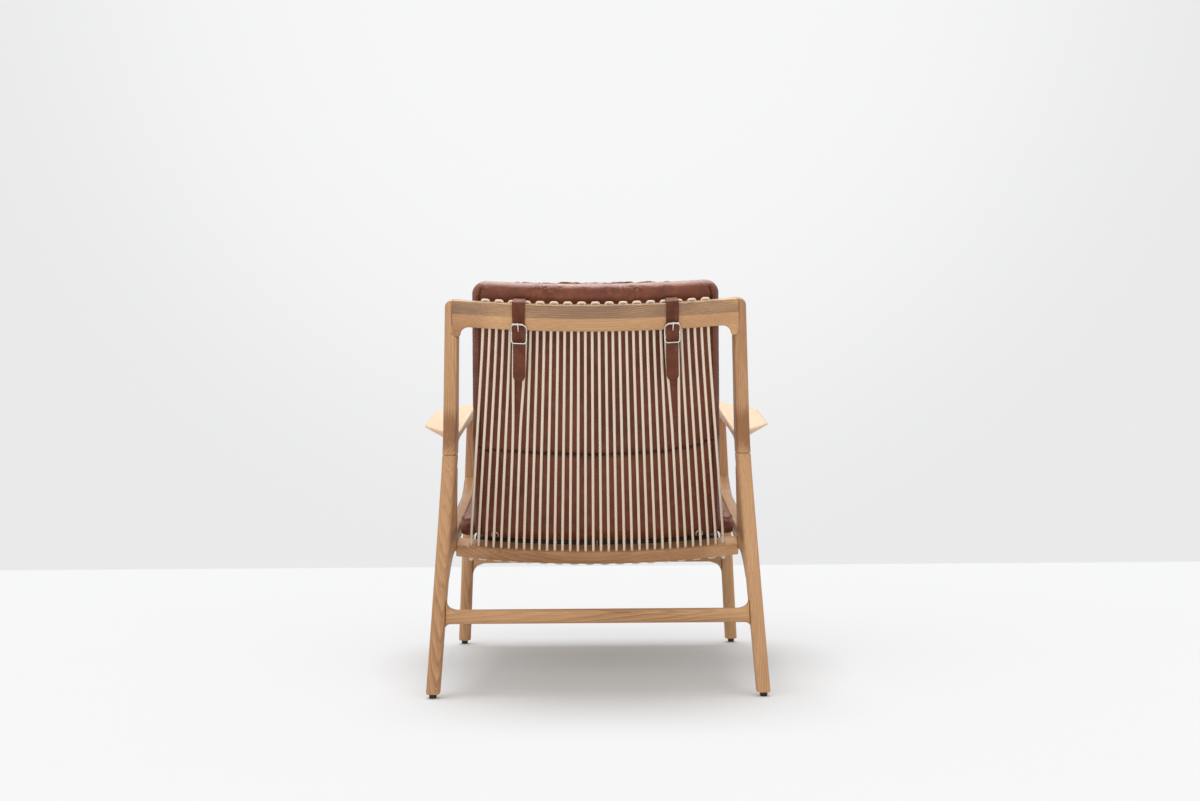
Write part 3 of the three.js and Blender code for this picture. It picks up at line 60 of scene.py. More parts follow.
def make_camera():
    data = bpy.data.cameras.new("photo_camera")
    data.sensor_width = SENSOR
    data.lens = SENSOR * FOCAL_PIXELS / PHOTO_WIDTH
    data.shift_x = (PHOTO_WIDTH / 2 - MIDDLE_COLUMN) / PHOTO_WIDTH
    camera = bpy.data.objects.new("photo_camera", data)
    turn = Matrix.Rotation(math.pi, 4, "Z") @ Matrix.Rotation(math.pi / 2, 4, "X")
    camera.matrix_world = Matrix.Translation(CAMERA_PLACE) @ turn @ Matrix.Rotation(CAMERA_ROLL, 4, "Z")
    bpy.context.scene.collection.objects.link(camera)
    bpy.context.scene.camera = camera


# Sizes shared with the part, in millimetres

MIDDLE_SHIFT = 381.576        # from the part's first frame to the middle of its outline
RECLINE = 22.5 * DEGREE
LINE_Y = -225
LINE_Z = 285
FIT = 0.3

TOP_RAIL = {"height": 56.5, "thickness": 28, "top": 542, "slope": 0.25, "bow": 34, "inner": 270.0,
            "round": 5}
LOWER_RAIL = {"height": 27, "ahead": 31, "bow": 38, "end": 295.1}
CORD = {"radius": 2.75, "strands": 34, "top_pitch": 13.5, "lower_pitch": 16, "bend": 3.4,
        "pushed": 3.8, "fade": 230, "knot": 5, "knot_length": 9}
STRAP = {"width": 25, "thickness": 2.5, "strands_in": 11, "tail": 78, "curl": 0.17, "sewn": 46,
         "hole": 1.4, "hole_pitch": 20, "hole_gap": 5, "low_hole": 4.5, "low_hole_behind": 3, "neck": 12}
BUCKLE = {"wire": 1.6, "under_rail": 5, "behind": 14.4, "above": 21.5, "below": 18.5, "dip": 6.4,
          "top_wire": 2.6, "sleeve_length": 22, "sleeve_radius": 2.1, "sleeve_end": 0.84}
RING = {"x": 215, "along": 23, "behind": -10.5, "seat": -16, "drop": 3.5, "wire": 1.25,
        "tab_length": 12, "tab_width": 9, "tab_thickness": 1.2}
SEAT = {"rear_z": 300.5, "rear_y": -273, "front_y": -788, "half": 288, "border": 34,
        "sag": 2, "corner": 18, "flare": 4, "rise": 7.6 * DEGREE}
BACK_PAD = {"bottom": 8, "top": 568, "solid_top": 582, "lower_half": 259, "upper_half": 243, "border": 38,
            "crown": 62, "rear": 18.2, "corner": 28}
WEBBING = {"count": 6, "width": 85.1, "thickness": 2.4, "pitch": 85.5, "turn_down": 18, "front_y": -735.5,
           "rail_thickness": 24, "rail_gap": 1.9}

SIN = math.sin(RECLINE)
COS = math.cos(RECLINE)
RAIL_BOTTOM = TOP_RAIL["top"] - TOP_RAIL["height"]
BAR_ALONG = RAIL_BOTTOM - BUCKLE["under_rail"]
BUCKLE_TOP = BAR_ALONG + BUCKLE["above"]
BUCKLE_BOTTOM = BAR_ALONG - BUCKLE["below"]
STRAP_X = STRAP["strands_in"] * CORD["top_pitch"]
RISE_SIN = math.sin(SEAT["rise"])
RISE_COS = math.cos(SEAT["rise"])
SEAT_LENGTH = (SEAT["rear_y"] - SEAT["front_y"]) / RISE_COS
BACK_MIDDLE = (BACK_PAD["top"] + BACK_PAD["bottom"]) / 2
BACK_REACH = (BACK_PAD["top"] - BACK_PAD["bottom"]) / 2
SIDES = (("left", 1), ("right", -1))
AHEAD = Vector((0, -COS, SIN))


def placed(x, y, z):
    return Vector((x, y + MIDDLE_SHIFT, z)) * MM


def back_point(x, along, behind):
    """x across, along up the cord from the lower rail, behind towards the rear."""
    return placed(x, LINE_Y + along * SIN + behind * COS, LINE_Z + along * COS - behind * SIN)


def back_place(p):
    """The x, along and behind of a point, in millimetres."""
    y = p.y / MM - MIDDLE_SHIFT - LINE_Y
    z = p.z / MM - LINE_Z
    return p.x / MM, y * SIN + z * COS, y * COS - z * SIN


def top_loss(behind):
    """How much lower the rail's sloping top face is ahead of its rear edge."""
    return TOP_RAIL["slope"] * (TOP_RAIL["thickness"] / 2 - behind)


def top_bow(x):
    return TOP_RAIL["bow"] * (1 - min(abs(x) / TOP_RAIL["inner"], 1) ** 2)


def lower_bow(x):
    return LOWER_RAIL["bow"] * (1 - (x / LOWER_RAIL["end"]) ** 2)


def lower_slope(x):
    return -2 * LOWER_RAIL["bow"] * x / LOWER_RAIL["end"] ** 2


def bow_at(x, share):
    """Between the lower rail's bow and the top rail's."""
    return lerp(lower_bow(x), top_bow(x), share)


def turned_frame(x, bow, slope):
    turn = math.atan(slope)

    def point(across, along, behind):
        return back_point(
            x + across * math.cos(turn) - behind * math.sin(turn),
            along,
            bow + across * math.sin(turn) + behind * math.cos(turn),
        )

    return point


def strap_frame(side):
    x = side * STRAP_X
    return turned_frame(x, top_bow(x), -2 * TOP_RAIL["bow"] * x / TOP_RAIL["inner"] ** 2)


def ring_frame(side):
    x = side * RING["x"]
    return turned_frame(x, lower_bow(x), lower_slope(x))


def way(point, *step):
    """A direction of a turned frame."""
    return (point(*step) - point(0, 0, 0)).normalized()


def lerp(a, b, t):
    return a + (b - a) * t


def smooth_step(low, high, value):
    t = min(max((value - low) / (high - low), 0), 1)
    return t * t * (3 - 2 * t)


# Shader building


def set_all(thing, **settings):
    for key, value in settings.items():
        setattr(thing, key, value)
    return thing


class Nodes:
    """A node tree. Inputs are fed with values or with the outputs of other nodes."""

    def __init__(self, tree):
        self.tree = tree
        self.tree.nodes.clear()

    def add(self, kind, **settings):
        return set_all(self.tree.nodes.new(kind), **settings)

    def feed(self, socket, value):
        if isinstance(value, bpy.types.NodeSocket):
            self.tree.links.new(value, socket)
        elif value is not None:
            socket.default_value = value

    def made(self, kind, output, inputs, **settings):
        """Adds a node, feeds its inputs and gives one of its outputs."""
        node = self.add(kind, **settings)
        for key, value in inputs.items():
            self.feed(node.inputs[key], value)
        return node.outputs[output]

    def math(self, operation, a, b=None):
        return self.made("ShaderNodeMath", "Value", {0: a, 1: b}, operation=operation)

    def plus(self, a, b):
        return self.math("ADD", a, b)

    def minus(self, a, b):
        return self.math("SUBTRACT", a, b)

    def times(self, a, b):
        return self.math("MULTIPLY", a, b)

    def ramp(self, value, low, high, to_low=0.0, to_high=1.0, smooth=True):
        inputs = {"Value": value, "From Min": low, "From Max": high, "To Min": to_low, "To Max": to_high}
        kind = "SMOOTHSTEP" if smooth else "LINEAR"
        return self.made("ShaderNodeMapRange", "Result", inputs, interpolation_type=kind)

    def between(self, operation, a, b):
        return self.made("ShaderNodeVectorMath", "Value", {0: a, 1: b}, operation=operation)

    def dot(self, vector, direction):
        return self.between("DOT_PRODUCT", vector, direction)

    def distance(self, vector, point):
        return self.between("DISTANCE", vector, point)

    def seen_directly(self):
        """1 for camera, glossy and transmission rays."""
        rays = self.add("ShaderNodeLightPath").outputs
        seen = rays["Is Camera Ray"]
        for name in ("Is Glossy Ray", "Is Transmission Ray"):
            seen = self.math("MAXIMUM", seen, rays[name])
        return seen

    def mix(self, factor, a, b):
        return self.made("ShaderNodeMixShader", "Shader", {"Fac": factor, 1: a, 2: b})


class Shader(Nodes):
    """A material of nodes, built from its object's own coordinates in metres."""

    def __init__(self, name):
        self.material = bpy.data.materials.new(name)
        self.material.use_nodes = True
        super().__init__(self.material.node_tree)
        self.surface = self.add("ShaderNodeBsdfPrincipled")
        self.output = self.add("ShaderNodeOutputMaterial").inputs["Surface"]
        self.feed(self.output, self.surface.outputs["BSDF"])
        self.place = self.add("ShaderNodeTexCoord").outputs["Object"]

    def mapped(self, vector, scale=(1, 1, 1), turn=(0, 0, 0), shift=(0, 0, 0)):
        inputs = {"Vector": vector, "Scale": scale, "Rotation": turn, "Location": shift}
        return self.made("ShaderNodeMapping", "Vector", inputs)

    def noise(self, vector, scale, detail=2, roughness=0.5):
        inputs = {"Vector": vector, "Scale": scale, "Detail": detail, "Roughness": roughness}
        return self.made("ShaderNodeTexNoise", "Fac", inputs)

    def edges(self, size):
        """The distance to the edge of cells this large."""
        inputs = {"Vector": self.place, "Scale": 1 / size}
        return self.made("ShaderNodeTexVoronoi", "Distance", inputs, feature="DISTANCE_TO_EDGE")

    def blend(self, factor, a, b):
        colours = [c if isinstance(c, bpy.types.NodeSocket) else (*c, 1) for c in (a, b)]
        return self.made("ShaderNodeMix", 2, {0: factor, 6: colours[0], 7: colours[1]}, data_type="RGBA")

    def tint(self, colour, where, share, other):
        """Takes a colour towards another one where a value is high."""
        return self.blend(self.times(where, share), colour, other)

    def split(self, vector):
        node = self.add("ShaderNodeSeparateXYZ")
        self.feed(node.inputs["Vector"], vector)
        return node.outputs

    def pointiness(self):
        return self.add("ShaderNodeNewGeometry").outputs["Pointiness"]

    def along(self):
        """The sweep coordinates of a piece: metres around and metres along it."""
        return self.add("ShaderNodeUVMap", uv_map="along").outputs["UV"]

    def bump(self, height, distance, strength=1.0):
        inputs = {"Height": height, "Distance": distance, "Strength": strength}
        self.feed(self.surface.inputs["Normal"], self.made("ShaderNodeBump", "Normal", inputs))

    def finish(self, colour, roughness, metallic=0.0, constants=None):
        inputs = {"Base Color": colour, "Roughness": roughness, "Metallic": metallic, **(constants or {})}
        for key, value in inputs.items():
            self.feed(self.surface.inputs[key], value)
        return self.material


# Oak

OAK_LIGHT = (0.600, 0.350, 0.172)
OAK_DARK = (0.270, 0.122, 0.052)
OAK_GREY_DARK = (0.235, 0.135, 0.080)
ARM_LIGHT = (0.620, 0.435, 0.275)
ARM_DARK = (0.440, 0.265, 0.140)
PORE = (0.170, 0.078, 0.034)
YEAR_RING = 0.0036            # metres


def oak(node, grain, pith, shade, light=OAK_LIGHT, dark=OAK_DARK, figure=1.0, lamella=None, patches=()):
    """Oak for one node. The pith is a place beside the board, from the board's middle, along its own axes.
    A lamella is (direction, edge, contrast, depth) and a patch (place, reach, amount)."""
    s = Shader(f"oak_{node}")
    low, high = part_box(node)
    to_board = Vector(grain).normalized().rotation_difference(Vector((1, 0, 0)))
    middle = to_board @ ((low + high) / 2)
    board = s.mapped(s.place, turn=to_board.to_euler(), shift=Vector(pith) - middle)
    u, v, w = s.split(board)
    sway = s.noise(s.mapped(board, (1.6, 7, 7)), 1, 3)
    bend = s.times(s.minus(sway, 0.5), 0.030)
    lean = s.times(u, 0.035)
    v = s.plus(s.plus(v, bend), lean)
    radius = s.math("SQRT", s.plus(s.times(v, v), s.times(w, w)))
    wobble = s.times(s.noise(s.mapped(board, (9, 60, 60)), 1, 2), 1.1)
    rings = s.plus(s.math("DIVIDE", radius, YEAR_RING), wobble)
    phase = s.math("FRACT", rings)
    early = s.minus(s.ramp(phase, 0, 0.10), s.ramp(phase, 0.16, 0.55))
    late = s.ramp(phase, 0.45, 1.0)
    fibre = s.noise(s.mapped(board, (14, 520, 520)), 1, 3, 0.6)
    broad = s.noise(s.mapped(board, (2.2, 16, 16)), 1, 2)
    tone = s.plus(s.times(early, 0.34), s.times(late, 0.22))
    tone = s.times(tone, s.ramp(broad, 0.35, 0.65, 0.35, 1.2))
    if lamella:
        direction, edge, contrast, deeper = lamella
        upper = s.ramp(s.dot(s.place, direction), edge - 0.0012, edge + 0.0012)
        tone = s.times(tone, s.ramp(upper, 0, 1, 0.6, contrast, smooth=False))
        cloud = s.noise(s.mapped(board, (9, 34, 34)), 1, 4, 0.6)
        tone = s.plus(tone, s.times(upper, s.ramp(cloud, 0.3, 0.7, deeper * 0.5, deeper * 1.4)))
        dark = s.blend(upper, dark, OAK_GREY_DARK)
    tone = s.times(tone, figure)
    tone = s.plus(tone, s.ramp(fibre, 0.25, 0.75, -0.15, 0.24, smooth=False))
    tone = s.plus(tone, s.ramp(broad, 0.3, 0.7, shade - 0.12, shade + 0.12))
    for point, reach, amount in patches:
        near = s.ramp(s.distance(s.place, point), reach * 0.35, reach, amount, 0)
        tone = s.plus(tone, near)
    colour = s.blend(s.ramp(tone, 0, 1, smooth=False), light, dark)
    specks = s.noise(s.mapped(board, (85, 2100, 2100)), 1, 1)
    pores = s.times(s.ramp(specks, 0.60, 0.72), s.ramp(early, 0, 1, 0.35, 1.0))
    colour = s.tint(colour, pores, 0.5, PORE)
    edge_wear = s.ramp(s.pointiness(), 0.515, 0.60)
    colour = s.tint(colour, edge_wear, 0.25, tuple(min(c * 1.25, 1) for c in light))
    height = s.minus(s.times(fibre, 0.35), pores)
    s.bump(height, 0.00018, 0.45)
    rough = s.plus(s.ramp(fibre, 0.2, 0.8, 0.46, 0.58), s.times(pores, 0.2))
    return s.finish(colour, rough, constants={"Specular IOR Level": 0.35})


# Leather, cord, webbing, metal and plastic

HIDE = (0.225, 0.055, 0.017)
HIDE_DEEP = (0.145, 0.031, 0.009)
HIDE_WORN = (0.360, 0.130, 0.066)
STRAP_HIDE = (0.150, 0.040, 0.015)
STRAP_DEEP = (0.098, 0.024, 0.008)


def leather(name, base, deep, worn, pebble=0.0013, grain_depth=0.00016, rough=0.36, creases=()):
    """Waxed hide with fine pebbles, with painted shade in its creases, folds and seams. A crease field is
    (place, reach, across its lines, pitch, depth).
    """
    s = Shader(name)
    crease = s.ramp(s.edges(pebble), 0.0, 0.16, 1, 0)
    fine = s.noise(s.place, 2600, 2)
    mottle = s.noise(s.place, 11, 4, 0.6)
    cloud = s.noise(s.place, 46, 3, 0.55)
    colour = s.blend(s.ramp(mottle, 0.32, 0.70), base, deep)
    colour = s.tint(colour, s.ramp(cloud, 0.45, 0.75), 0.28, worn)
    # Painted shade in the pebble grain's creases.
    colour = s.tint(colour, crease, 0.35, tuple(c * 0.45 for c in deep))
    rubbed = s.ramp(s.pointiness(), 0.51, 0.58)
    colour = s.tint(colour, rubbed, 0.30, worn)
    seam_shade = s.add("ShaderNodeAttribute", attribute_name="seam_shade").outputs["Fac"]
    # Painted shade along the seams, from the point attribute that press_seams writes.
    colour = s.tint(colour, seam_shade, 0.85, tuple(c * 0.22 for c in deep))
    height = s.plus(s.times(crease, -1), s.times(fine, 0.25))
    height = s.plus(height, s.times(cloud, 1.1))
    for point, reach, across, pitch, depth in creases:
        near = s.ramp(s.distance(s.place, point), reach * 0.3, reach, 1, 0)
        sway = s.times(s.noise(s.place, 28, 2), 0.016)
        run = s.plus(s.dot(s.place, Vector(across).normalized()), sway)
        wave = s.math("SINE", s.times(run, math.tau / pitch))
        fold = s.math("POWER", s.ramp(wave, -1, 1, smooth=False), 2.5)
        broken = s.ramp(s.noise(s.place, 60, 2), 0.35, 0.6)
        fold = s.times(s.times(fold, near), broken)
        height = s.plus(height, s.times(fold, -depth / grain_depth))
        # Painted shade in the folds.
        colour = s.tint(colour, fold, 0.35, tuple(c * 0.5 for c in deep))
    s.bump(height, grain_depth, 0.8)
    roughness = s.ramp(mottle, 0.3, 0.7, rough - 0.05, rough + 0.06)
    roughness = s.plus(roughness, s.times(crease, 0.12))
    roughness = s.plus(roughness, s.times(seam_shade, 0.5))
    return s.finish(colour, roughness)


def strap_leather():
    """Flat, finely grained hide with darker painted edges."""
    s = Shader("strap_leather")
    crease = s.ramp(s.edges(0.0009), 0.0, 0.18, 1, 0)
    mottle = s.noise(s.place, 38, 3, 0.6)
    scuff = s.noise(s.mapped(s.place, (60, 60, 22)), 1, 3, 0.6)
    colour = s.blend(s.ramp(mottle, 0.3, 0.7), STRAP_HIDE, STRAP_DEEP)
    colour = s.tint(colour, s.ramp(scuff, 0.55, 0.75), 0.25, (0.27, 0.105, 0.055))
    # Painted shade in the grain's creases.
    colour = s.tint(colour, crease, 0.30, (0.04, 0.011, 0.005))
    rim = s.ramp(s.pointiness(), 0.53, 0.62)
    colour = s.tint(colour, rim, 0.35, (0.075, 0.020, 0.009))
    s.bump(s.minus(s.times(mottle, 0.6), crease), 0.00010, 0.7)
    return s.finish(colour, s.ramp(mottle, 0.3, 0.7, 0.46, 0.58), constants={"Specular IOR Level": 0.25})


def thread():
    s = Shader("thread")
    twist = s.noise(s.mapped(s.place, (900, 900, 900)), 1, 2)
    colour = s.blend(s.ramp(twist, 0.3, 0.7), (0.235, 0.085, 0.046), (0.33, 0.14, 0.08))
    s.bump(twist, 0.0001)
    return s.finish(colour, 0.62)


def braided_cotton():
    s = Shader("braided_cotton")
    round_, along = s.split(s.along())[0:2]
    circumference = 2 * math.pi * CORD["radius"] * MM
    turns = s.times(round_, 4 / circumference * math.tau)
    run = s.times(along, math.tau / 0.0085)
    right = s.math("SINE", s.plus(turns, run))
    left = s.math("SINE", s.minus(turns, run))
    braid = s.math("MAXIMUM", right, left)
    plait = s.ramp(braid, -0.4, 1.0)
    fuzz = s.noise(s.place, 1500, 2)
    soil = s.noise(s.place, 14, 3)
    # Darker between the braid's strands: painted shade in its hollows.
    colour = s.blend(plait, (0.60, 0.485, 0.36), (0.80, 0.68, 0.545))
    colour = s.tint(colour, s.ramp(soil, 0.4, 0.75), 0.16, (0.66, 0.54, 0.40))
    colour = s.tint(colour, s.ramp(fuzz, 0.45, 0.7), 0.15, (0.93, 0.86, 0.74))
    s.bump(s.plus(plait, s.times(fuzz, 0.25)), 0.00045, 0.7)
    return s.finish(colour, 0.82, constants={"Sheen Weight": 0.25, "Sheen Roughness": 0.5})


def woven_webbing():
    s = Shader("woven_webbing")
    across, along = s.split(s.along())[0:2]
    ribs = s.math("SINE", s.times(along, math.tau / 0.0024))
    warp = s.math("SINE", s.times(across, math.tau / 0.0020))
    weave = s.ramp(s.times(ribs, warp), -1, 1)
    wear = s.noise(s.place, 60, 3)
    # Near-black bands: dark as webbing and also standing in for the shade under the seat cushion, with
    # painted shade in the weave's hollows.
    colour = s.blend(weave, (0.018, 0.014, 0.012), (0.055, 0.045, 0.038))
    colour = s.tint(colour, s.ramp(wear, 0.45, 0.8), 0.4, (0.085, 0.070, 0.060))
    s.bump(weave, 0.0003, 0.7)
    return s.finish(colour, 0.85)


def nickel(name, tone, rough):
    s = Shader(name)
    scratches = s.noise(s.mapped(s.place, (300, 2400, 2400)), 1, 2)
    dull = s.noise(s.place, 140, 3)
    colour = s.blend(s.ramp(dull, 0.4, 0.75), tone, tuple(c * 0.82 for c in tone))
    s.bump(scratches, 0.00004, 0.3)
    return s.finish(colour, s.ramp(dull, 0.3, 0.7, rough - 0.05, rough + 0.10), 1.0)


def moulded_black():
    s = Shader("moulded_black")
    pits = s.noise(s.place, 1800, 2)
    dust = s.noise(s.place, 120, 3)
    colour = s.blend(s.ramp(dust, 0.5, 0.8), (0.010, 0.009, 0.008), (0.045, 0.040, 0.036))
    s.bump(pits, 0.0001, 0.4)
    return s.finish(colour, s.ramp(pits, 0.3, 0.7, 0.48, 0.62))


# Mesh building


def new_object(name, mesh, material):
    piece = bpy.data.objects.new(name, mesh)
    bpy.context.scene.collection.objects.link(piece)
    mesh.materials.clear()
    mesh.materials.append(material)
    for face in mesh.polygons:
        face.use_smooth = True
    return piece


def from_bmesh(name, mesh, material):
    """An object of closed shells, their faces turned outwards."""
    bmesh.ops.recalc_face_normals(mesh, faces=mesh.faces)
    data = bpy.data.meshes.new(name)
    mesh.to_mesh(data)
    mesh.free()
    return new_object(name, data, material)


def modify(piece, name, kind, **settings):
    return set_all(piece.modifiers.new(name, kind), **settings)


def baked(piece):
    """Applies a piece's modifiers."""
    bpy.context.view_layer.update()
    graph = bpy.context.evaluated_depsgraph_get()
    mesh = bpy.data.meshes.new_from_object(piece.evaluated_get(graph), depsgraph=graph)
    piece.modifiers.clear()
    old = piece.data
    piece.data = mesh
    bpy.data.meshes.remove(old)
    for face in mesh.polygons:
        face.use_smooth = True
    return piece


def smooth_path(stops, step):
    """Even points on a curve through the stops. A stop is (place, other numbers...)."""
    result = []
    for i in range(len(stops) - 1):
        p1, p2 = stops[i][0], stops[i + 1][0]
        p0 = stops[i - 1][0] if i else p1 * 2 - p2
        p3 = stops[i + 2][0] if i + 2 < len(stops) else p2 * 2 - p1
        gaps = [max((b - a).length, 1e-6) ** 0.5 for a, b in ((p0, p1), (p1, p2), (p2, p3))]
        m1 = (p1 - p0) / gaps[0] - (p2 - p0) / (gaps[0] + gaps[1]) + (p2 - p1) / gaps[1]
        m2 = (p2 - p1) / gaps[1] - (p3 - p1) / (gaps[1] + gaps[2]) + (p3 - p2) / gaps[2]
        m1, m2 = m1 * gaps[1], m2 * gaps[1]
        count = max(int(math.ceil((p2 - p1).length / step)), 1)
        for j in range(count):
            t = j / count
            t2, t3 = t * t, t * t * t
            place = (p1 * (2 * t3 - 3 * t2 + 1) + m1 * (t3 - 2 * t2 + t)
                     + p2 * (3 * t2 - 2 * t3) + m2 * (t3 - t2))
            rest = [lerp(a, b, t) for a, b in zip(stops[i][1:], stops[i + 1][1:])]
            result.append((place, *rest))
    result.append(stops[-1])
    return result


def sweep(name, path, section_at, across_at, material):
    """Skins sections along a path: section_at(i) gives (across, up) pairs, across_at(i, tangent) a way."""
    mesh = bmesh.new()
    layer = mesh.loops.layers.uv.new("along")
    rings, sections, travelled = [], [], [0.0]
    for i in range(1, len(path)):
        travelled.append(travelled[-1] + (path[i] - path[i - 1]).length)
    for i, place in enumerate(path):
        tangent = (path[min(i + 1, len(path) - 1)] - path[max(i - 1, 0)]).normalized()
        across = across_at(i, tangent)
        up = across.cross(tangent).normalized()
        section = section_at(i)
        around = [0.0]
        for j in range(len(section)):
            a, b = Vector(section[j]), Vector(section[(j + 1) % len(section)])
            around.append(around[-1] + (b - a).length)
        rings.append([mesh.verts.new(place + across * a + up * b) for a, b in section])
        sections.append(around)
    for i in range(len(rings) - 1):
        count = len(rings[i])
        for j in range(count):
            k = (j + 1) % count
            face = mesh.faces.new((rings[i][j], rings[i][k], rings[i + 1][k], rings[i + 1][j]))
            places = ((sections[i][j], travelled[i]), (sections[i][j + 1], travelled[i]),
                      (sections[i + 1][j + 1], travelled[i + 1]), (sections[i + 1][j], travelled[i + 1]))
            for loop, place in zip(face.loops, places):
                loop[layer].uv = place
    mesh.faces.new(list(reversed(rings[0])))
    mesh.faces.new(rings[-1])
    return from_bmesh(name, mesh, material)


def round_section(radius, sides):
    angles = [math.tau * i / sides for i in range(sides)]
    return [(radius * math.cos(angle), radius * math.sin(angle)) for angle in angles]


def strap_section(half, thickness, across_steps=5, corner_steps=3):
    """A flat strap's section with round edges."""
    r = thickness * 0.42
    flat = max(half - r, 0.0001)
    tall = thickness / 2 - r
    points = []
    for quarter, (sa, su) in enumerate(((1, 1), (-1, 1), (-1, -1), (1, -1))):
        for i in range(corner_steps + 1):
            angle = (quarter + i / corner_steps) * math.pi / 2
            points.append((sa * flat + r * math.cos(angle), su * tall + r * math.sin(angle)))
        if quarter in (0, 2):
            last = points[-1]
            for i in range(1, across_steps):
                points.append((lerp(last[0], -last[0], i / across_steps), last[1]))
    return points


def ribbon(name, stops, across, thickness, material, step=1.6 * MM):
    """A flat band. across is one direction, made square to the path, or gives one for each place."""
    path = smooth_path(stops, step)

    def across_at(i, tangent):
        if callable(across):
            return across(path[i][0])
        return (across - tangent * across.dot(tangent)).normalized()

    places = [stop[0] for stop in path]
    return sweep(name, places, lambda i: strap_section(path[i][1], thickness), across_at, material)


# Wood

WOOD_VOXEL = 2.0 * MM
FINE_WOOD_VOXEL = 1.4 * MM
UP_POST = (0, SIN, COS)
UP_REAR_LEG = (0, -math.sin(17.5 * DEGREE), math.cos(17.5 * DEGREE))
ALONG_ARM = (0, -1, math.tan(6.5 * DEGREE))
ALONG_SIDE = (0, -1, math.tan(7.6 * DEGREE))
ACROSS = (1, 0, 0)
ELBOW = (0.303, 0.270, 0.525)
EAR_Y = (0.172, 0.200, 0.228, 0.256, 0.284)


def soften(piece, voxel, rounds):
    """Rounds a piece's edges and facets with modifiers."""
    modify(piece, "fine", "REMESH", mode="VOXEL", voxel_size=voxel, use_smooth_shade=True)
    modify(piece, "soft", "SMOOTH", iterations=rounds, factor=0.5)


def finish_node(name, material, voxel, rounds):
    node = nodes[name]
    node.data.materials.clear()
    node.data.materials.append(material)
    soften(node, voxel, rounds)


def dress_board(node, grain, pith, shade, **more):
    fine = "back" in node or node == "top_rail"
    finish_node(node, oak(node, grain, pith, shade, **more), FINE_WOOD_VOXEL if fine else WOOD_VOXEL, 3)


def dress_wood():
    for word, side in SIDES:
        elbow = [(Vector((side * ELBOW[0], ELBOW[1], ELBOW[2])), 0.060, 0.55)]
        ear = [(Vector((side * 0.294, y, 0.307)), 0.019, 0.85) for y in EAR_Y]
        # Painted light: the left back post is painted lighter and the right one darker, as more light falls
        # from the left.
        side_light = 0.10 * side
        dress_board(f"rear_leg_{word}", UP_REAR_LEG, (0.1, 0.050, side * 0.062), 0.30, patches=ear)
        dress_board(f"back_post_{word}", UP_POST, (0.3, side * 0.041, 0.036), 0.24 - side_light, patches=elbow)
        dress_board(f"front_leg_{word}", (0, 0, 1), (0.7, 0.060, side * 0.033), 0.30)
        dress_board(f"side_rail_{word}", ALONG_SIDE, (1.1, 0.045, side * 0.055), 0.25)
        dress_board(f"armrest_{word}", ALONG_ARM, (1.7, side * 0.030, 0.085), 0.05,
                    light=ARM_LIGHT, dark=ARM_DARK, figure=0.8)
    rail_line = Vector(placed(0, LINE_Y, LINE_Z)).dot(Vector(UP_POST))
    middle = rail_line + (TOP_RAIL["top"] - TOP_RAIL["height"] * 0.5) * MM
    dark_end = [(Vector((0.265, 0.370, 0.745)), 0.075, 0.35)]
    # Painted light: the lower back rail's two ends are lighter, where light reaches past the cushions.
    lit_ends = [(placed(x, -232, 285), 0.085, -0.42) for x in (-275, 275)]
    dress_board("top_rail", ACROSS, (0.4, 0.034, 0.048), 0.16, lamella=(UP_POST, middle, 2.1, 0.34),
                patches=dark_end)
    # The lower back rail's darker tone (0.66) is painted shade from the cushions and cords above it.
    dress_board("lower_back_rail", ACROSS, (2.3, 0.060, 0.030), 0.66, patches=lit_ends)
    dress_board("rear_stretcher", ACROSS, (2.9, 0.045, 0.060), 0.30)
    dress_board("front_stretcher", ACROSS, (3.3, 0.055, 0.040), 0.30)
    dress_board("front_seat_rail", ACROSS, (3.9, 0.050, 0.050), 0.30)


# Metal and feet


def dress_hardware():
    bright = nickel("polished_nickel", (0.92, 0.88, 0.81), 0.22)
    steel = nickel("zinc_steel", (0.55, 0.55, 0.55), 0.34)
    black = moulded_black()
    for word in ("left", "right"):
        for kind in ("buckle_frame", "buckle_prong", "ring"):
            finish_node(f"{kind}_{word}", bright, 0.34 * MM, 4)
        for end in ("front", "rear"):
            finish_node(f"glide_{end}_{word}", black, 0.6 * MM, 2)
            finish_node(f"glide_pin_{end}_{word}", steel, 0.4 * MM, 1)


# Cord


def hole_x(i, pitch):
    return (i - (CORD["strands"] - 1) / 2) * pitch


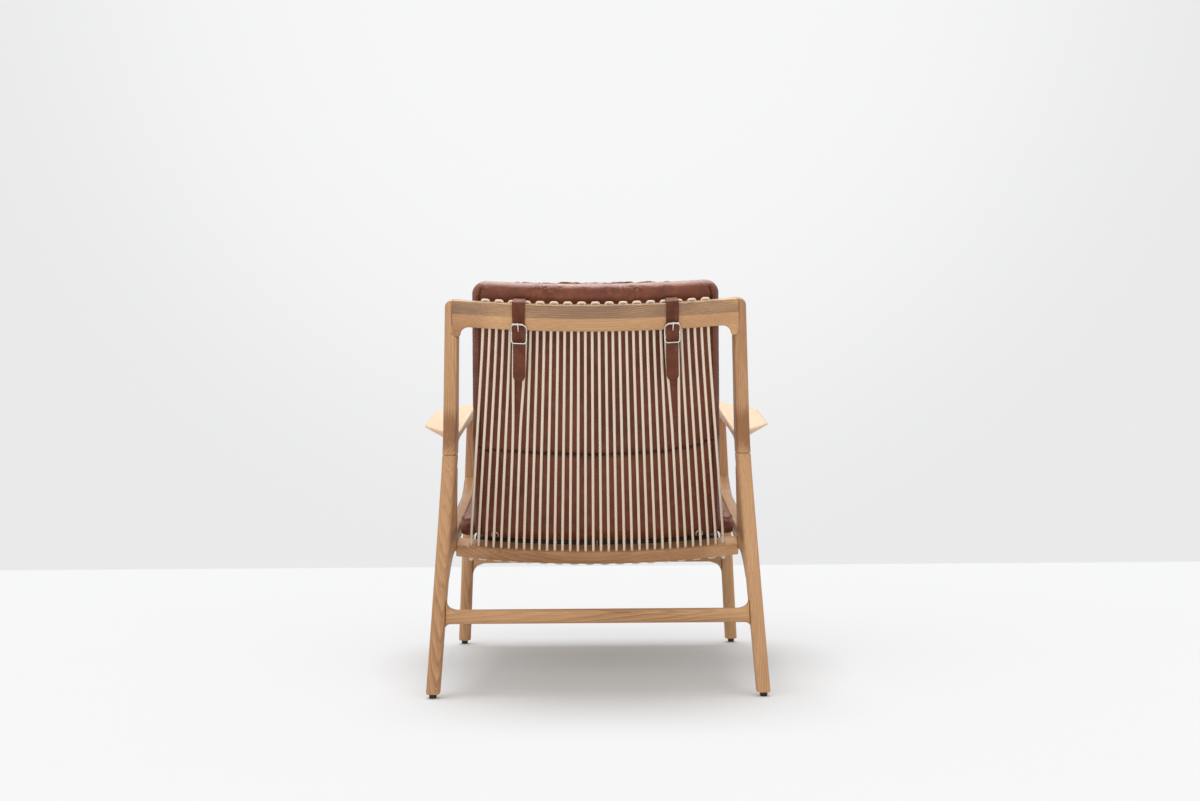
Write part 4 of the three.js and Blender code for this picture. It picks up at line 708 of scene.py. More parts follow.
def cord_stops():
    """The cord's way: up through the lower rail, through the top rail, over to the next hole and down."""
    stops = []
    cord_top = TOP_RAIL["top"] - top_loss(0)

    def add(x, along, behind):
        stops.append((back_point(x, along, behind),))

    def turn(x0, x1, along, outward, bow):
        direction = 1 if x1 > x0 else -1
        for start, way, steps in ((x0, direction, (0, 1, 2, 3)), (x1, -direction, (3, 2, 1, 0))):
            for step in steps:
                angle = step / 3 * math.pi / 2
                x = start + way * CORD["bend"] * (1 - math.cos(angle))
                add(x, along + outward * CORD["bend"] * math.sin(angle), bow(x))

    def strand(i, upward):
        low, high = hole_x(i, CORD["lower_pitch"]), hole_x(i, CORD["top_pitch"])
        line = [(low, -LOWER_RAIL["height"] * 0.5, lower_bow(low)), (low, 0, lower_bow(low))]
        off = abs(high) - STRAP_X
        if abs(off) < CORD["top_pitch"]:
            away = math.copysign(1, high) * math.copysign(1, off)
            for along, share in ((BAR_ALONG - CORD["fade"], 0), (BAR_ALONG - BUCKLE["dip"], 1)):
                t = along / RAIL_BOTTOM
                x = lerp(low, high, t) + away * CORD["pushed"] * share
                line.append((x, along, lerp(lower_bow(low), top_bow(high), t)))
        line.append((high, RAIL_BOTTOM, top_bow(high)))
        line.append((high, TOP_RAIL["top"] - TOP_RAIL["height"] / 2, top_bow(high)))
        for place in line if upward else reversed(line):
            add(*place)

    under = -LOWER_RAIL["height"]
    first, last = hole_x(0, CORD["lower_pitch"]), hole_x(CORD["strands"] - 1, CORD["lower_pitch"])
    drops = (CORD["knot_length"], CORD["knot_length"] * 0.8, CORD["knot_length"] * 0.3, 0)
    for drop in drops:
        add(first, under - FIT - drop, lower_bow(first))
    for i in range(CORD["strands"]):
        upward = i % 2 == 0
        strand(i, upward)
        if upward:
            turn(hole_x(i, CORD["top_pitch"]), hole_x(i + 1, CORD["top_pitch"]), cord_top, 1, top_bow)
        elif i < CORD["strands"] - 1:
            turn(hole_x(i, CORD["lower_pitch"]), hole_x(i + 1, CORD["lower_pitch"]), under, -1, lower_bow)
    for drop in reversed(drops):
        add(last, under - FIT - drop, lower_bow(last))
    return stops


def make_cord():
    stops = cord_stops()
    path = [stop[0] for stop in smooth_path(stops, 9 * MM)]
    across = [Vector((0, COS, -SIN))]

    def across_at(i, tangent):
        if i:
            across[0] = (across[0] - tangent * across[0].dot(tangent)).normalized()
        return across[0].copy()

    ends = (path[0], path[-1])

    def section_at(i):
        near = min((path[i] - end).length for end in ends) / MM
        swell = smooth_step(CORD["knot_length"] + 2, CORD["knot_length"] - 3, near)
        tip = smooth_step(-1, 2.5, near) if near < 3 else 1
        return round_section(lerp(CORD["radius"], CORD["knot"], swell) * max(tip, 0.35) * MM, 12)

    cord = sweep("laced_cord", path, section_at, across_at, braided_cotton())
    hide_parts("back_cord")
    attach(cord, "frame")


# Straps, tabs and webbing


def punch(piece, places, direction, radius):
    """Cuts a round hole at each place."""
    cutters = bmesh.new()
    turn = Vector((0, 0, 1)).rotation_difference(direction).to_matrix().to_4x4()
    for point in places:
        bmesh.ops.create_cone(cutters, cap_ends=True, segments=20, radius1=radius, radius2=radius,
                              depth=12 * MM, matrix=Matrix.Translation(point) @ turn)
    cutter = from_bmesh("cutters", cutters, piece.data.materials[0])
    modify(piece, "holes", "BOOLEAN", object=cutter, operation="DIFFERENCE", solver="EXACT")
    baked(piece)
    bpy.data.objects.remove(cutter)


def strap_stops(point):
    layer = STRAP["thickness"] / 2
    rear = TOP_RAIL["thickness"] / 2
    round_ = TOP_RAIL["round"]
    under_bar = rear + FIT + layer + 0.6 * FIT
    over_bar = BUCKLE["behind"] + BUCKLE["wire"] + FIT + STRAP["thickness"] + FIT + layer
    over_cord = TOP_RAIL["top"] - top_loss(0) + CORD["bend"] + CORD["radius"] + FIT + layer
    front_top = TOP_RAIL["top"] - top_loss(-rear)
    ahead = -rear - FIT - layer
    full = STRAP["width"] / 2
    tip = STRAP["tail"]
    tail_end = BUCKLE_BOTTOM - tip
    shares = (1, 0.985, 0.96, 0.91, 0.86, 0.7, 0.35)
    curl = [under_bar + share ** 2 * tip * STRAP["curl"] for share in shares]
    rises = (0, 0.015, 0.045, 0.09, 0.14, 0.3, 0.65)
    widths = (0.14, 0.46, 0.70, 0.90, 0.985, 1, 1)
    tail = zip(curl, rises, widths)
    stops = [(behind, tail_end + tip * rise, full * width) for behind, rise, width in tail]
    stops += [
        (under_bar, BUCKLE_BOTTOM, full),
        (under_bar, BUCKLE_BOTTOM + BUCKLE["wire"] * 2, full),
        (over_bar - FIT * 2, BAR_ALONG - 5, full),
        (over_bar, BAR_ALONG, full),
        (over_bar - FIT * 2, BAR_ALONG + 5, full),
        (under_bar, BUCKLE_TOP - BUCKLE["wire"], full),
        (under_bar, BUCKLE_TOP + 10, full),
        (under_bar, TOP_RAIL["top"] - round_ * 1.6, full),
        (under_bar - round_ * 0.15, TOP_RAIL["top"] - round_ * 0.4, full),
        (under_bar - round_ * 0.6, TOP_RAIL["top"] + round_ * 0.45, full),
        (CORD["radius"] * 2, over_cord - 0.4, full),
        (CORD["radius"] * 0.8, over_cord, full),
        (-CORD["radius"], over_cord - 0.2, full),
        (ahead + round_ * 0.35, front_top + round_ * 0.6, full),
        (ahead, front_top - round_, full),
        (ahead, TOP_RAIL["top"] - STRAP["sewn"], full),
    ]
    return [(point(0, along, behind), half * MM) for behind, along, half in stops]


def chape_stops(point):
    """The short strap round the buckle's middle bar."""
    layer = STRAP["thickness"] / 2
    half = STRAP["width"] / 2
    neck = STRAP["neck"] / 2
    wrap = BUCKLE["wire"] + FIT + layer
    low = BAR_ALONG - wrap
    ahead = -TOP_RAIL["thickness"] / 2 - FIT - layer
    stops = [
        (ahead, low - STRAP["width"] * 1.6, half),
        (ahead, low - layer * 3, half),
        (ahead + layer * 1.6, low - 0.3, neck),
        (-CORD["radius"], low, neck),
        (CORD["radius"] * 2.2, low, neck),
        (CORD["radius"] * 3.3, low, half),
        (BUCKLE["behind"], low, half),
    ]
    for i in range(1, 7):
        angle = i / 6 * math.pi
        stops.append((BUCKLE["behind"] + wrap * math.sin(angle), BAR_ALONG - wrap * math.cos(angle), half))
    stops.append((BUCKLE["behind"] - wrap * 1.6, BAR_ALONG + wrap * 0.78, half))
    return [(point(0, along, behind), width * MM) for behind, along, width in stops]


def tab_stops(point):
    bar = RING["along"] - RING["drop"]
    wrap = RING["wire"] + FIT + RING["tab_thickness"] / 2
    gap = RING["behind"] - RING["seat"]
    half = RING["tab_width"] / 2 * MM
    stops = [
        (RING["seat"], bar + RING["tab_length"]),
        (RING["seat"], bar + RING["tab_length"] / 2),
        (RING["seat"] + gap * 0.25, bar + wrap * 1.4),
    ]
    for i in range(-1, 5):
        angle = i / 4 * math.pi
        stops.append((RING["behind"] + wrap * math.sin(angle), bar + wrap * math.cos(angle)))
    stops.append((RING["behind"] - gap * 0.75, bar - wrap))
    return [(point(0, along, behind), half) for behind, along in stops]


def keep(piece, node, body):
    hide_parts(node)
    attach(piece, body)
    return piece


def make_straps():
    hide = strap_leather()
    thick = STRAP["thickness"] * MM
    thin = RING["tab_thickness"] * MM
    rear = TOP_RAIL["thickness"] / 2
    first = BUCKLE_TOP + STRAP["hole_gap"]
    for word, side in SIDES:
        point = strap_frame(side)
        across = way(point, 1, 0, 0)
        strap = ribbon(f"long_strap_{word}", strap_stops(point), across, thick, hide)
        places = [point(0, first + i * STRAP["hole_pitch"], rear) for i in (0, 1)]
        places.append(point(0, BUCKLE_BOTTOM + STRAP["low_hole"], rear + STRAP["low_hole_behind"]))
        punch(strap, places, way(point, 0, 0, 1), STRAP["hole"] * MM)
        chape = ribbon(f"short_strap_{word}", chape_stops(point), across, thick, hide, 1.0 * MM)
        point = ring_frame(side)
        tab = ribbon(f"leather_tab_{word}", tab_stops(point), way(point, 1, 0, 0), thin, hide, 0.8 * MM)
        for piece, node in ((strap, "strap"), (chape, "buckle_strap"), (tab, "ring_tab")):
            keep(piece, f"{node}_{word}", "frame")


def seat_line(y):
    """Top of the webbing, along the seat."""
    return SEAT["rear_z"] - FIT + math.tan(SEAT["rise"]) * (SEAT["rear_y"] - y)


def make_sleeves():
    """A turned sleeve over the top side of each buckle frame."""
    bright = nickel("sleeve_nickel", (0.92, 0.88, 0.81), 0.16)
    up = Vector((0, -SIN, COS))
    half = BUCKLE["sleeve_length"] / 2 * MM
    for word, side in SIDES:
        buckle = f"buckle_frame_{word}"
        low_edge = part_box(buckle)[1].z - BUCKLE["top_wire"] * MM
        wire = [v.co for v in nodes[buckle].data.vertices if v.co.z > low_edge]
        middle = sum(wire, Vector()) / len(wire)
        across = way(strap_frame(side), 1, 0, 0)
        stops = [(middle + across * (half * share),) for share in (-1, -0.5, 0, 0.5, 1)]
        path = [stop[0] for stop in smooth_path(stops, 1 * MM)]

        def section_at(i, last=len(path) - 1):
            end = BUCKLE["sleeve_end"] if i in (0, last) else 1
            return round_section(BUCKLE["sleeve_radius"] * MM * end, 20)

        sleeve = sweep(f"buckle_sleeve_{word}", path, section_at, lambda i, tangent: up, bright)
        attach(sleeve, "frame")


def make_webbing():
    """Elastic bands that turn with the bow of the lower rail behind and run straight over the front one."""
    woven = woven_webbing()
    half = WEBBING["width"] / 2 * MM
    layer = WEBBING["thickness"] / 2
    front = WEBBING["front_y"] - WEBBING["rail_thickness"] / 2 - FIT - layer
    for index in range(WEBBING["count"]):
        x = (index - (WEBBING["count"] - 1) / 2) * WEBBING["pitch"]
        slope = lower_slope(x)
        face = -LOWER_RAIL["ahead"] + lower_bow(x) - WEBBING["rail_gap"] - layer
        low = back_point(x, -WEBBING["turn_down"], face)
        top = back_point(x, 0, face)
        rear_y = top.y / MM - MIDDLE_SHIFT
        top_z = seat_line(rear_y) - layer
        meet = rear_y + (top_z - top.z / MM) * math.tan(RECLINE)
        turned = Vector((1, slope * COS, -slope * SIN))
        level = Vector((1, turned.y, -turned.y * math.tan(SEAT["rise"])))

        def across(place, turned=turned, level=level, meet=meet):
            y = place.y / MM - MIDDLE_SHIFT
            on_seat = lerp(level, Vector((1, 0, 0)), min(max((meet - y) / (meet - front), 0), 1))
            return lerp(turned, on_seat, smooth_step(meet + 2, meet - 4, y))

        places = [low, placed(x, meet + 1.2, top_z - 3), placed(x, meet - 2, top_z - 0.2)]
        for share in (0.1, 0.3, 0.5, 0.7, 0.9):
            y = lerp(meet, front, share)
            sag = 1.5 * math.sin(math.pi * share)
            places.append(placed(x, y, seat_line(y) - layer - sag))
        edge = seat_line(front) - layer
        places += [
            placed(x, front + 2.5, seat_line(front + 2.5) - layer),
            placed(x, front, edge - 2.5),
            placed(x, front, edge - WEBBING["turn_down"]),
        ]
        stops = [(place, half) for place in places]
        band = ribbon(f"elastic_band_{index + 1}", stops, across, WEBBING["thickness"] * MM, woven, 6 * MM)
        keep(band, f"seat_webbing_{index + 1}", "frame")


# Cushions

CUSHION_VOXEL = 5 * MM
INSET = 4.5 * MM              # how far a cover starts inside its cushion
CAP = 5.4 * MM                # the most that the cloth moves a point
PIN_REACH = 5 * MM            # points this close to a seam are sewn down
SIM_FRAMES = 20
SEAT_UP = Vector((0, -RISE_SIN, RISE_COS))
BACK_SEAM = 31                # the seam's place on the border, ahead of the rear face
COVER_GAP = 0.4               # mm between a cover and the skin of its form
SEAM_WIDTH = 5.5 * MM
STITCH = {"pitch": 7 * MM, "length": 4.6 * MM, "radius": 0.5 * MM}

# Rear seam of the back cushion: (x, along), read from the photograph
REAR_SEAM = [(-252, 231), (-225, 226), (-170, 218), (-90, 213.5), (0, 212.5), (90, 213.5), (170, 214),
             (225, 215), (252, 216)]

# Folds at the top of the back cushion: ends as (x, along), width and depth
TOP_FOLDS = [
    ((117, 562), (138, 528), 3.2, 1.5),
    ((107, 562), (124, 532), 3.2, 0.9),
    ((96, 561), (112, 535), 3.4, 0.6),
    ((84, 560), (98, 538), 3.4, 0.5),
    ((-62, 564), (-66, 534), 6.0, 0.7),
    ((-88, 564), (-93, 530), 6.0, 0.8),
]
# Crease fields at the top of the back cushion: (place, reach, across its lines, pitch, depth); their folds
# are bumped and darkened with painted shade.
TOP_CREASES = [
    (back_point(112, 550, 0), 0.030, (0.86, 0.20, 0.47), 0.0062, 0.0014),
    (back_point(84, 550, 0), 0.036, (0.84, 0.22, 0.50), 0.0048, 0.0009),
    (back_point(-60, 550, 10), 0.060, (1.0, 0.05, 0.1), 0.0120, 0.0005),
]
SEAT_FOLDS = [
    ((-262, 215), (-205, 168), 7, 2.2),
    ((-240, 232), (-196, 176), 7, 1.8),
    ((262, 212), (208, 160), 7, 2.2),
    ((246, 232), (190, 184), 7, 1.6),
    ((-258, -216), (-214, -176), 7, 1.6),
    ((258, -218), (210, -170), 7, 1.8),
    ((-40, 236), (-46, 196), 8, 1.3),
    ((60, 238), (52, 190), 8, 1.4),
]
FRONT_FOLDS = [
    ((-226, 545), (-180, 500), 7, 2.0),
    ((226, 548), (176, 496), 7, 2.0),
    ((-236, 60), (-190, 96), 7, 1.8),
    ((236, 56), (196, 100), 7, 1.8),
    ((-150, 236), (-60, 222), 8, 1.6),
    ((160, 190), (70, 206), 8, 1.5),
]


class Surface:
    """Nearest points and normals on a piece's mesh."""

    def __init__(self, mesh):
        places = [v.co for v in mesh.vertices]
        self.tree = BVHTree.FromPolygons(places, [list(face.vertices) for face in mesh.polygons])

    def near(self, point):
        place, normal, _, _ = self.tree.find_nearest(point)
        return place, normal


def closed_outline(half_at, half_length, corner, step):
    """A cushion's outline: (across, along) round a rectangle with round corners, along from the middle."""
    points = []
    for quarter, (sa, sl) in enumerate(((1, 1), (-1, 1), (-1, -1), (1, -1))):
        centre = sl * (half_length - corner)
        for i in range(13):
            angle = (quarter + i / 12) * math.pi / 2
            along = centre + corner * math.sin(angle)
            points.append((sa * (half_at(along) - corner) + corner * math.cos(angle), along))
    dense = []
    for i, a in enumerate(points):
        b = points[(i + 1) % len(points)]
        count = max(int(math.hypot(b[0] - a[0], b[1] - a[1]) / step), 1)
        dense += [(lerp(a[0], b[0], j / count), lerp(a[1], b[1], j / count)) for j in range(count)]
    return dense


def settled(point):
    """The top edge of the back cushion hangs lower than its solid's."""
    x, along, behind = back_place(point)
    drop = BACK_PAD["solid_top"] - BACK_PAD["top"]
    return back_point(x, along - drop * smooth_step(430, BACK_PAD["solid_top"], along), behind)


def cushion_form(kind):
    """A copy of a cushion's solid, settled as the photographed one is."""
    mesh = nodes[f"{kind}_cushion"].data.copy()
    if kind == "back":
        for vertex in mesh.vertices:
            vertex.co = settled(vertex.co)
    return mesh


def shift(piece, moves):
    for vertex, move in zip(piece.data.vertices, moves):
        vertex.co += move


def push_out(piece, distance):
    """Moves a piece's points along their normals."""
    shift(piece, [vertex.normal * distance for vertex in piece.data.vertices])


def start_mesh(form, name):
    """A cushion's form, remeshed and drawn in by the swell to come."""
    piece = new_object(name, form.copy(), form.materials[0])
    soften(piece, CUSHION_VOXEL, 3)
    baked(piece)
    push_out(piece, -INSET)
    return piece


def add_cloth(piece, pinned):
    piece.vertex_groups.new(name="sewn").add(pinned, 1.0, "REPLACE")
    cloth = modify(piece, "cloth", "CLOTH")
    set_all(cloth.settings, quality=6, mass=0.35, tension_stiffness=18, compression_stiffness=18,
            shear_stiffness=8, bending_stiffness=1.2, use_pressure=True, uniform_pressure_force=4.0,
            shrink_min=-0.012, vertex_group_mass="sewn")
    cloth.settings.effector_weights.gravity = 0
    cloth.collision_settings.use_collision = False
    set_all(cloth.point_cache, frame_start=1, frame_end=SIM_FRAMES)


def simulate(pieces, cap):
    """Runs the cloth of all pieces at once, and keeps each point within cap of where it began."""
    rest = {piece.name: [v.co.copy() for v in piece.data.vertices] for piece in pieces}
    scene = bpy.context.scene
    for number in range(1, SIM_FRAMES + 1):
        scene.frame_set(number)
    graph = bpy.context.evaluated_depsgraph_get()
    for piece in pieces:
        moved = [v.co.copy() for v in piece.evaluated_get(graph).data.vertices]
        piece.modifiers.clear()
        for vertex, start, end in zip(piece.data.vertices, rest[piece.name], moved):
            step = end - start
            if step.length > cap:
                step *= cap / step.length
            vertex.co = start + step
    scene.frame_set(1)


def fill_out(piece, form):
    """Brings a cover back out to its form's skin, by an even amount that keeps its own folds."""
    skin = Surface(form)
    mesh = piece.data
    gaps = []
    for vertex in mesh.vertices:
        step = skin.near(vertex.co)[0] - vertex.co
        gaps.append(math.copysign(step.length, step.dot(vertex.normal)))
    ties = [[] for _ in mesh.vertices]
    for edge in mesh.edges:
        a, b = edge.vertices
        ties[a].append(b)
        ties[b].append(a)
    for _ in range(12):
        gaps = [(gaps[i] + sum(gaps[j] for j in near)) / (len(near) + 1) for i, near in enumerate(ties)]
    shift(piece, [vertex.normal * (gap - COVER_GAP * MM) for vertex, gap in zip(mesh.vertices, gaps)])


def extent(mesh, i):
    """The lowest and highest place of a mesh on one axis."""
    places = [vertex.co[i] for vertex in mesh.vertices]
    return min(places), max(places)


def match_box(piece, form):
    """Stretches a cover to its form's own box, less a gap."""
    gap = COVER_GAP * MM
    for i in range(3):
        low, high = extent(form, i)
        now_low, now_high = extent(piece.data, i)
        for vertex in piece.data.vertices:
            share = (vertex.co[i] - now_low) / (now_high - now_low)
            vertex.co[i] = lerp(low + gap, high - gap, share)


def corner_loss(from_end, corner):
    """How much a round corner takes off the half width, this far from the end."""
    if from_end >= corner:
        return 0
    return corner - math.sqrt(max(corner ** 2 - (corner - max(from_end, 0)) ** 2, 0))


def back_side(along):
    """The back cushion's half width, before its round corners."""
    share = (along - BACK_PAD["bottom"]) / (BACK_PAD["top"] - BACK_PAD["bottom"])
    return lerp(BACK_PAD["lower_half"], BACK_PAD["upper_half"], share)


def back_half(along):
    from_end = min(along - BACK_PAD["bottom"], BACK_PAD["top"] - along)
    return back_side(along) - corner_loss(from_end, BACK_PAD["corner"])


def seat_side(along):
    """The seat cushion's half width, before its round corners: it spreads a little at the rear."""
    return SEAT["half"] + SEAT["flare"] * smooth_step(110, 20, along + SEAT_LENGTH / 2)


def seat_half(along):
    return seat_side(along) - corner_loss(SEAT_LENGTH / 2 - abs(along), SEAT["corner"])


def true_width(piece, place_of, half_at):
    """Widens each row of a cover to the half width that it should have there."""
    row = 8
    widest = {}
    for vertex in piece.data.vertices:
        x, along, _ = place_of(vertex.co)
        key = math.floor(along / row)
        widest[key] = max(widest.get(key, 1), abs(x))
    ratio = {}
    for key, wide in widest.items():
        ratio[key] = min(max((half_at((key + 0.5) * row) - COVER_GAP) / wide, 0.98), 1.09)
    for vertex in piece.data.vertices:
        _, along, _ = place_of(vertex.co)
        at = along / row - 0.5
        key = math.floor(at)
        a = ratio.get(key, ratio.get(key + 1, 1))
        b = ratio.get(key + 1, a)
        vertex.co.x *= lerp(a, b, at - key)


def refine(piece):
    modify(piece, "fine", "SUBSURF", levels=1, render_levels=1)
    modify(piece, "soft", "SMOOTH", iterations=2)
    baked(piece)


def path_tree(points):
    tree = KDTree(len(points))
    for i, point in enumerate(points):
        tree.insert(point, i)
    tree.balance()
    return tree


def press_seams(piece, seams, width, depth, lip):
    """Sinks a furrow along each seam, with a soft lip on both sides, and keeps painted shade along the
    seams as a point attribute.
    """
    trees = [path_tree(seam) for seam in seams]
    moves, shades = [], []
    for vertex in piece.data.vertices:
        distance = min(tree.find(vertex.co)[2] for tree in trees)
        t = distance / width
        push = -depth * math.exp(-(t * 1.9) ** 2) + lip * math.exp(-((t - 1.5) / 0.8) ** 2)
        moves.append(vertex.normal * push)
        # Painted shade, darkest on the seam.
        shades.append(math.exp(-(t * 2.1) ** 2))
    shift(piece, moves)
    seam_shade = piece.data.attributes.get("seam_shade")
    if seam_shade:
        before = [0.0] * len(shades)
        seam_shade.data.foreach_get("value", before)
        shades = [max(pair) for pair in zip(before, shades)]
    else:
        seam_shade = piece.data.attributes.new("seam_shade", "FLOAT", "POINT")
    seam_shade.data.foreach_set("value", shades)


def back_profile(ahead):
    """How far the border lies inside its outline, from the rear: a roll, the seam, then a lip."""
    roll = 7 * max(1 - max(ahead, 0) / 13, 0) ** 2
    seam = 3.5 * math.exp(-((ahead - BACK_SEAM) / (5 if ahead < BACK_SEAM else 2.2)) ** 2)
    return roll + seam - 1.2 * math.exp(-((ahead - 18) / 7) ** 2)


def seat_profile(up):
    share = min(max(up / SEAT["border"], 0), 1)
    return 2.2 * math.sin(math.pi * share)


def back_level(p):
    x, along, behind = back_place(p)
    bow = bow_at(x, min(max(along / TOP_RAIL["top"], 0), 1))
    return x, along - BACK_MIDDLE, bow - BACK_PAD["rear"] - behind


def seat_level(p):
    x, along, up = seat_place(p)
    return x, along, up - SEAT["sag"]


def back_edge(inset, step):
    """The back cushion's outline: (across, along) from its middle."""
    half_length = BACK_REACH - inset

    def half_at(along):
        share = (along + half_length) / (2 * half_length)
        return lerp(BACK_PAD["lower_half"], BACK_PAD["upper_half"], share) - inset

    return closed_outline(half_at, half_length, BACK_PAD["corner"] - inset, step)


def seat_edge(inset, step):
    """The seat cushion's outline: (across, along) from its middle."""
    corner = SEAT["corner"] - inset
    return closed_outline(lambda along: seat_side(along) - inset, SEAT_LENGTH / 2 - inset, corner, step)


def shape_border(piece, level_of, ring, axis, profile, height, keep_share):
    """Draws a cover's border to its profile, inside the cushion's outline."""
    tree = path_tree([Vector((x, along, 0)) for x, along in ring])
    moves = []
    for vertex in piece.data.vertices:
        x, along, level = level_of(vertex.co)
        across = 1 - smooth_step(0.45, 0.9, abs(vertex.normal.dot(axis)))
        within = smooth_step(-9, -1, level) * (1 - smooth_step(height + 2, height + 12, level))
        weight = across * within * keep_share
        if weight < 0.01:
            moves.append(Vector())
            continue
        near, _, distance = tree.find(Vector((x, along, 0)))
        inward = Vector((-near.x, -near.y, 0))
        inside = Vector((x - near.x, along - near.y, 0)).dot(inward) >= 0
        now = distance if inside else -distance
        out = (vertex.normal - axis * vertex.normal.dot(axis)).normalized()
        moves.append(out * ((now - profile(level)) * MM * weight))
    shift(piece, moves)


def sag_corners(piece):
    """Lets the seat cushion's rear corners hang a little beside the outer bands."""
    for vertex in piece.data.vertices:
        x, along, up = seat_place(vertex.co)
        near_rear = smooth_step(110, 30, along + SEAT_LENGTH / 2)
        drop = smooth_step(255.5, 265, abs(x)) * near_rear * smooth_step(44, 12, up)
        vertex.co.z -= 6.5 * MM * drop


def press_folds(piece, place_of, folds, faces):
    """Sinks straight folds, given by their ends on the cushion's plane, and raises the hide beside them."""
    moves = []
    for vertex in piece.data.vertices:
        a, b, c = place_of(vertex.co)
        total = 0.0
        if faces(vertex.normal, c):
            for (a0, b0), (a1, b1), width, depth in folds:
                run = (a1 - a0) ** 2 + (b1 - b0) ** 2
                t = min(max(((a - a0) * (a1 - a0) + (b - b0) * (b1 - b0)) / run, 0), 1)
                off = math.hypot(a - lerp(a0, a1, t), b - lerp(b0, b1, t)) / width
                if off < 3:
                    fade = math.sin(math.pi * min(max(t * 0.86 + 0.07, 0), 1)) ** 0.6
                    beside = 0.45 * math.exp(-((off - 1.35) / 0.6) ** 2)
                    total += depth * fade * (beside - math.exp(-(off ** 2)))
        moves.append(vertex.normal * total * MM)
    shift(piece, moves)


def stitch_rings():
    """Sections of one stitch, thick in the middle and closed in at the ends."""
    rings = []
    for share, swell in ((-0.5, 0.25), (-0.38, 0.8), (0, 1), (0.38, 0.8), (0.5, 0.25)):
        section = round_section(STITCH["radius"] * swell, 6)
        rings.append([(share * STITCH["length"], a, b) for a, b in section])
    return rings


def lay_stitch(mesh, rings, place, along, normal):
    """One stitch on the surface, its ends a little sunk."""
    forward = (along - normal * along.dot(normal)).normalized()
    cross = normal.cross(forward)
    grid = []
    for ring in rings:
        sink = abs(ring[0][0]) / STITCH["length"] * STITCH["radius"] * 1.6
        points = [place + forward * a + cross * b + normal * (c + STITCH["radius"] * 0.45 - sink)
                  for a, b, c in ring]
        grid.append([mesh.verts.new(point) for point in points])
    for low, high in zip(grid, grid[1:]):
        for j in range(6):
            k = (j + 1) % 6
            mesh.faces.new((low[j], low[k], high[k], high[j]))
    mesh.faces.new(list(reversed(grid[0])))
    mesh.faces.new(grid[-1])


def make_stitches(name, piece, seams, offsets, material):
    """Rows of thread beside each seam, laid on the piece's surface."""
    surface = Surface(piece.data)
    rings = stitch_rings()
    mesh = bmesh.new()
    for seam, sides in zip(seams, offsets):
        run = 0.0
        due = STITCH["pitch"] / 2
        for start, end in zip(seam, seam[1:]):
            step = end - start
            size = step.length
            while size > 0 and run + size >= due:
                point = start + step * ((due - run) / size)
                due += STITCH["pitch"]
                along = step.normalized()
                for offset in sides:
                    beside = surface.near(point)[1].cross(along).normalized()
                    place, normal = surface.near(point + beside * offset)
                    lay_stitch(mesh, rings, place, along, normal)
            run += size
    return from_bmesh(name, mesh, material)


def back_outline(ahead, inset):
    """Points of the back cushion's edge, ahead of its rear face."""
    points = []
    for x, along in back_edge(inset, 3):
        bow = bow_at(x, (BACK_MIDDLE + along) / TOP_RAIL["top"])
        points.append(back_point(x, BACK_MIDDLE + along, -BACK_PAD["rear"] - ahead + bow))
    points.append(points[0])
    return points


def seat_outline(up, inset):
    """Points of the seat cushion's edge, up from its underside."""
    points = [seat_point(x, along, up) for x, along in seat_edge(inset, 3)]
    points.append(points[0])
    return points


def seat_point(x, along, up):
    """along forwards from the seat's middle, up square to it."""
    ahead = SEAT_LENGTH / 2 + along
    lifted = up + SEAT["sag"]
    y = SEAT["rear_y"] - ahead * RISE_COS - lifted * RISE_SIN
    return placed(x, y, SEAT["rear_z"] + ahead * RISE_SIN + lifted * RISE_COS)


def seat_place(p):
    """The x, along and up of a point on the seat, in millimetres."""
    y = p.y / MM - MIDDLE_SHIFT - SEAT["rear_y"]
    z = p.z / MM - SEAT["rear_z"]
    return p.x / MM, -y * RISE_COS + z * RISE_SIN - SEAT_LENGTH / 2, -y * RISE_SIN + z * RISE_COS


def on_surface(mesh, points):
    surface = Surface(mesh)
    return [surface.near(point)[0] for point in points]


def across_back(behind):
    stops = [(Vector((x, along, 0)),) for x, along in REAR_SEAM]
    return [back_point(stop[0].x, stop[0].y, behind) for stop in smooth_path(stops, 3)]


def side_seam(side):
    """Up one side of the back cushion's rear face and over its top edge."""
    line = []
    for i in range(180):
        along = lerp(16, BACK_PAD["top"] - 6, i / 179)
        x = side * (back_side(along) - 13)
        line.append(back_point(x, along, bow_at(x, along / TOP_RAIL["top"]) - BACK_PAD["rear"] + 8))
    return line


def seams_of(kind, mesh):
    if kind == "back":
        face = across_back(-BACK_PAD["border"] - BACK_PAD["crown"] - 40)
        lines = (back_outline(BACK_SEAM, 2.5), across_back(20), side_seam(1), side_seam(-1), face)
    else:
        lines = (seat_outline(2, 1.5), seat_outline(SEAT["border"] - 2, 1.5))
    return [on_surface(mesh, line) for line in lines]


def swollen(forms):
    starts = {kind: start_mesh(form, f"{kind}_cushion_start") for kind, form in forms.items()}
    for kind, piece in starts.items():
        trees = [path_tree(seam) for seam in seams_of(kind, piece.data)]
        pinned = [v.index for v in piece.data.vertices
                  if min(tree.find(v.co)[2] for tree in trees) < PIN_REACH]
        add_cloth(piece, pinned)
    simulate(list(starts.values()), CAP)
    return starts


def finish_back(piece):
    """The back cushion's seams and folds. Gives the seams, and how far off each row of stitches lies."""
    true_width(piece, back_place, back_half)
    shape_border(piece, back_level, back_edge(0, 2), AHEAD, back_profile, BACK_PAD["border"], 0.85)
    seams = seams_of("back", piece.data)
    press_seams(piece, seams, SEAM_WIDTH, 2 * MM, 0.4 * MM)
    edge = on_surface(piece.data, back_outline(BACK_SEAM - 2.5, 3))
    press_seams(piece, [edge], 9 * MM, 1.2 * MM, 0)
    press_folds(piece, back_place, TOP_FOLDS, lambda normal, behind: behind > -60)
    press_folds(piece, back_place, FRONT_FOLDS, lambda normal, behind: behind < -40)
    press_seams(piece, seams[1:2], 9 * MM, 2.5 * MM, 0.8 * MM)
    both = (-4 * MM, 4 * MM)
    return seams, [(5 * MM,), both, both, both, both]


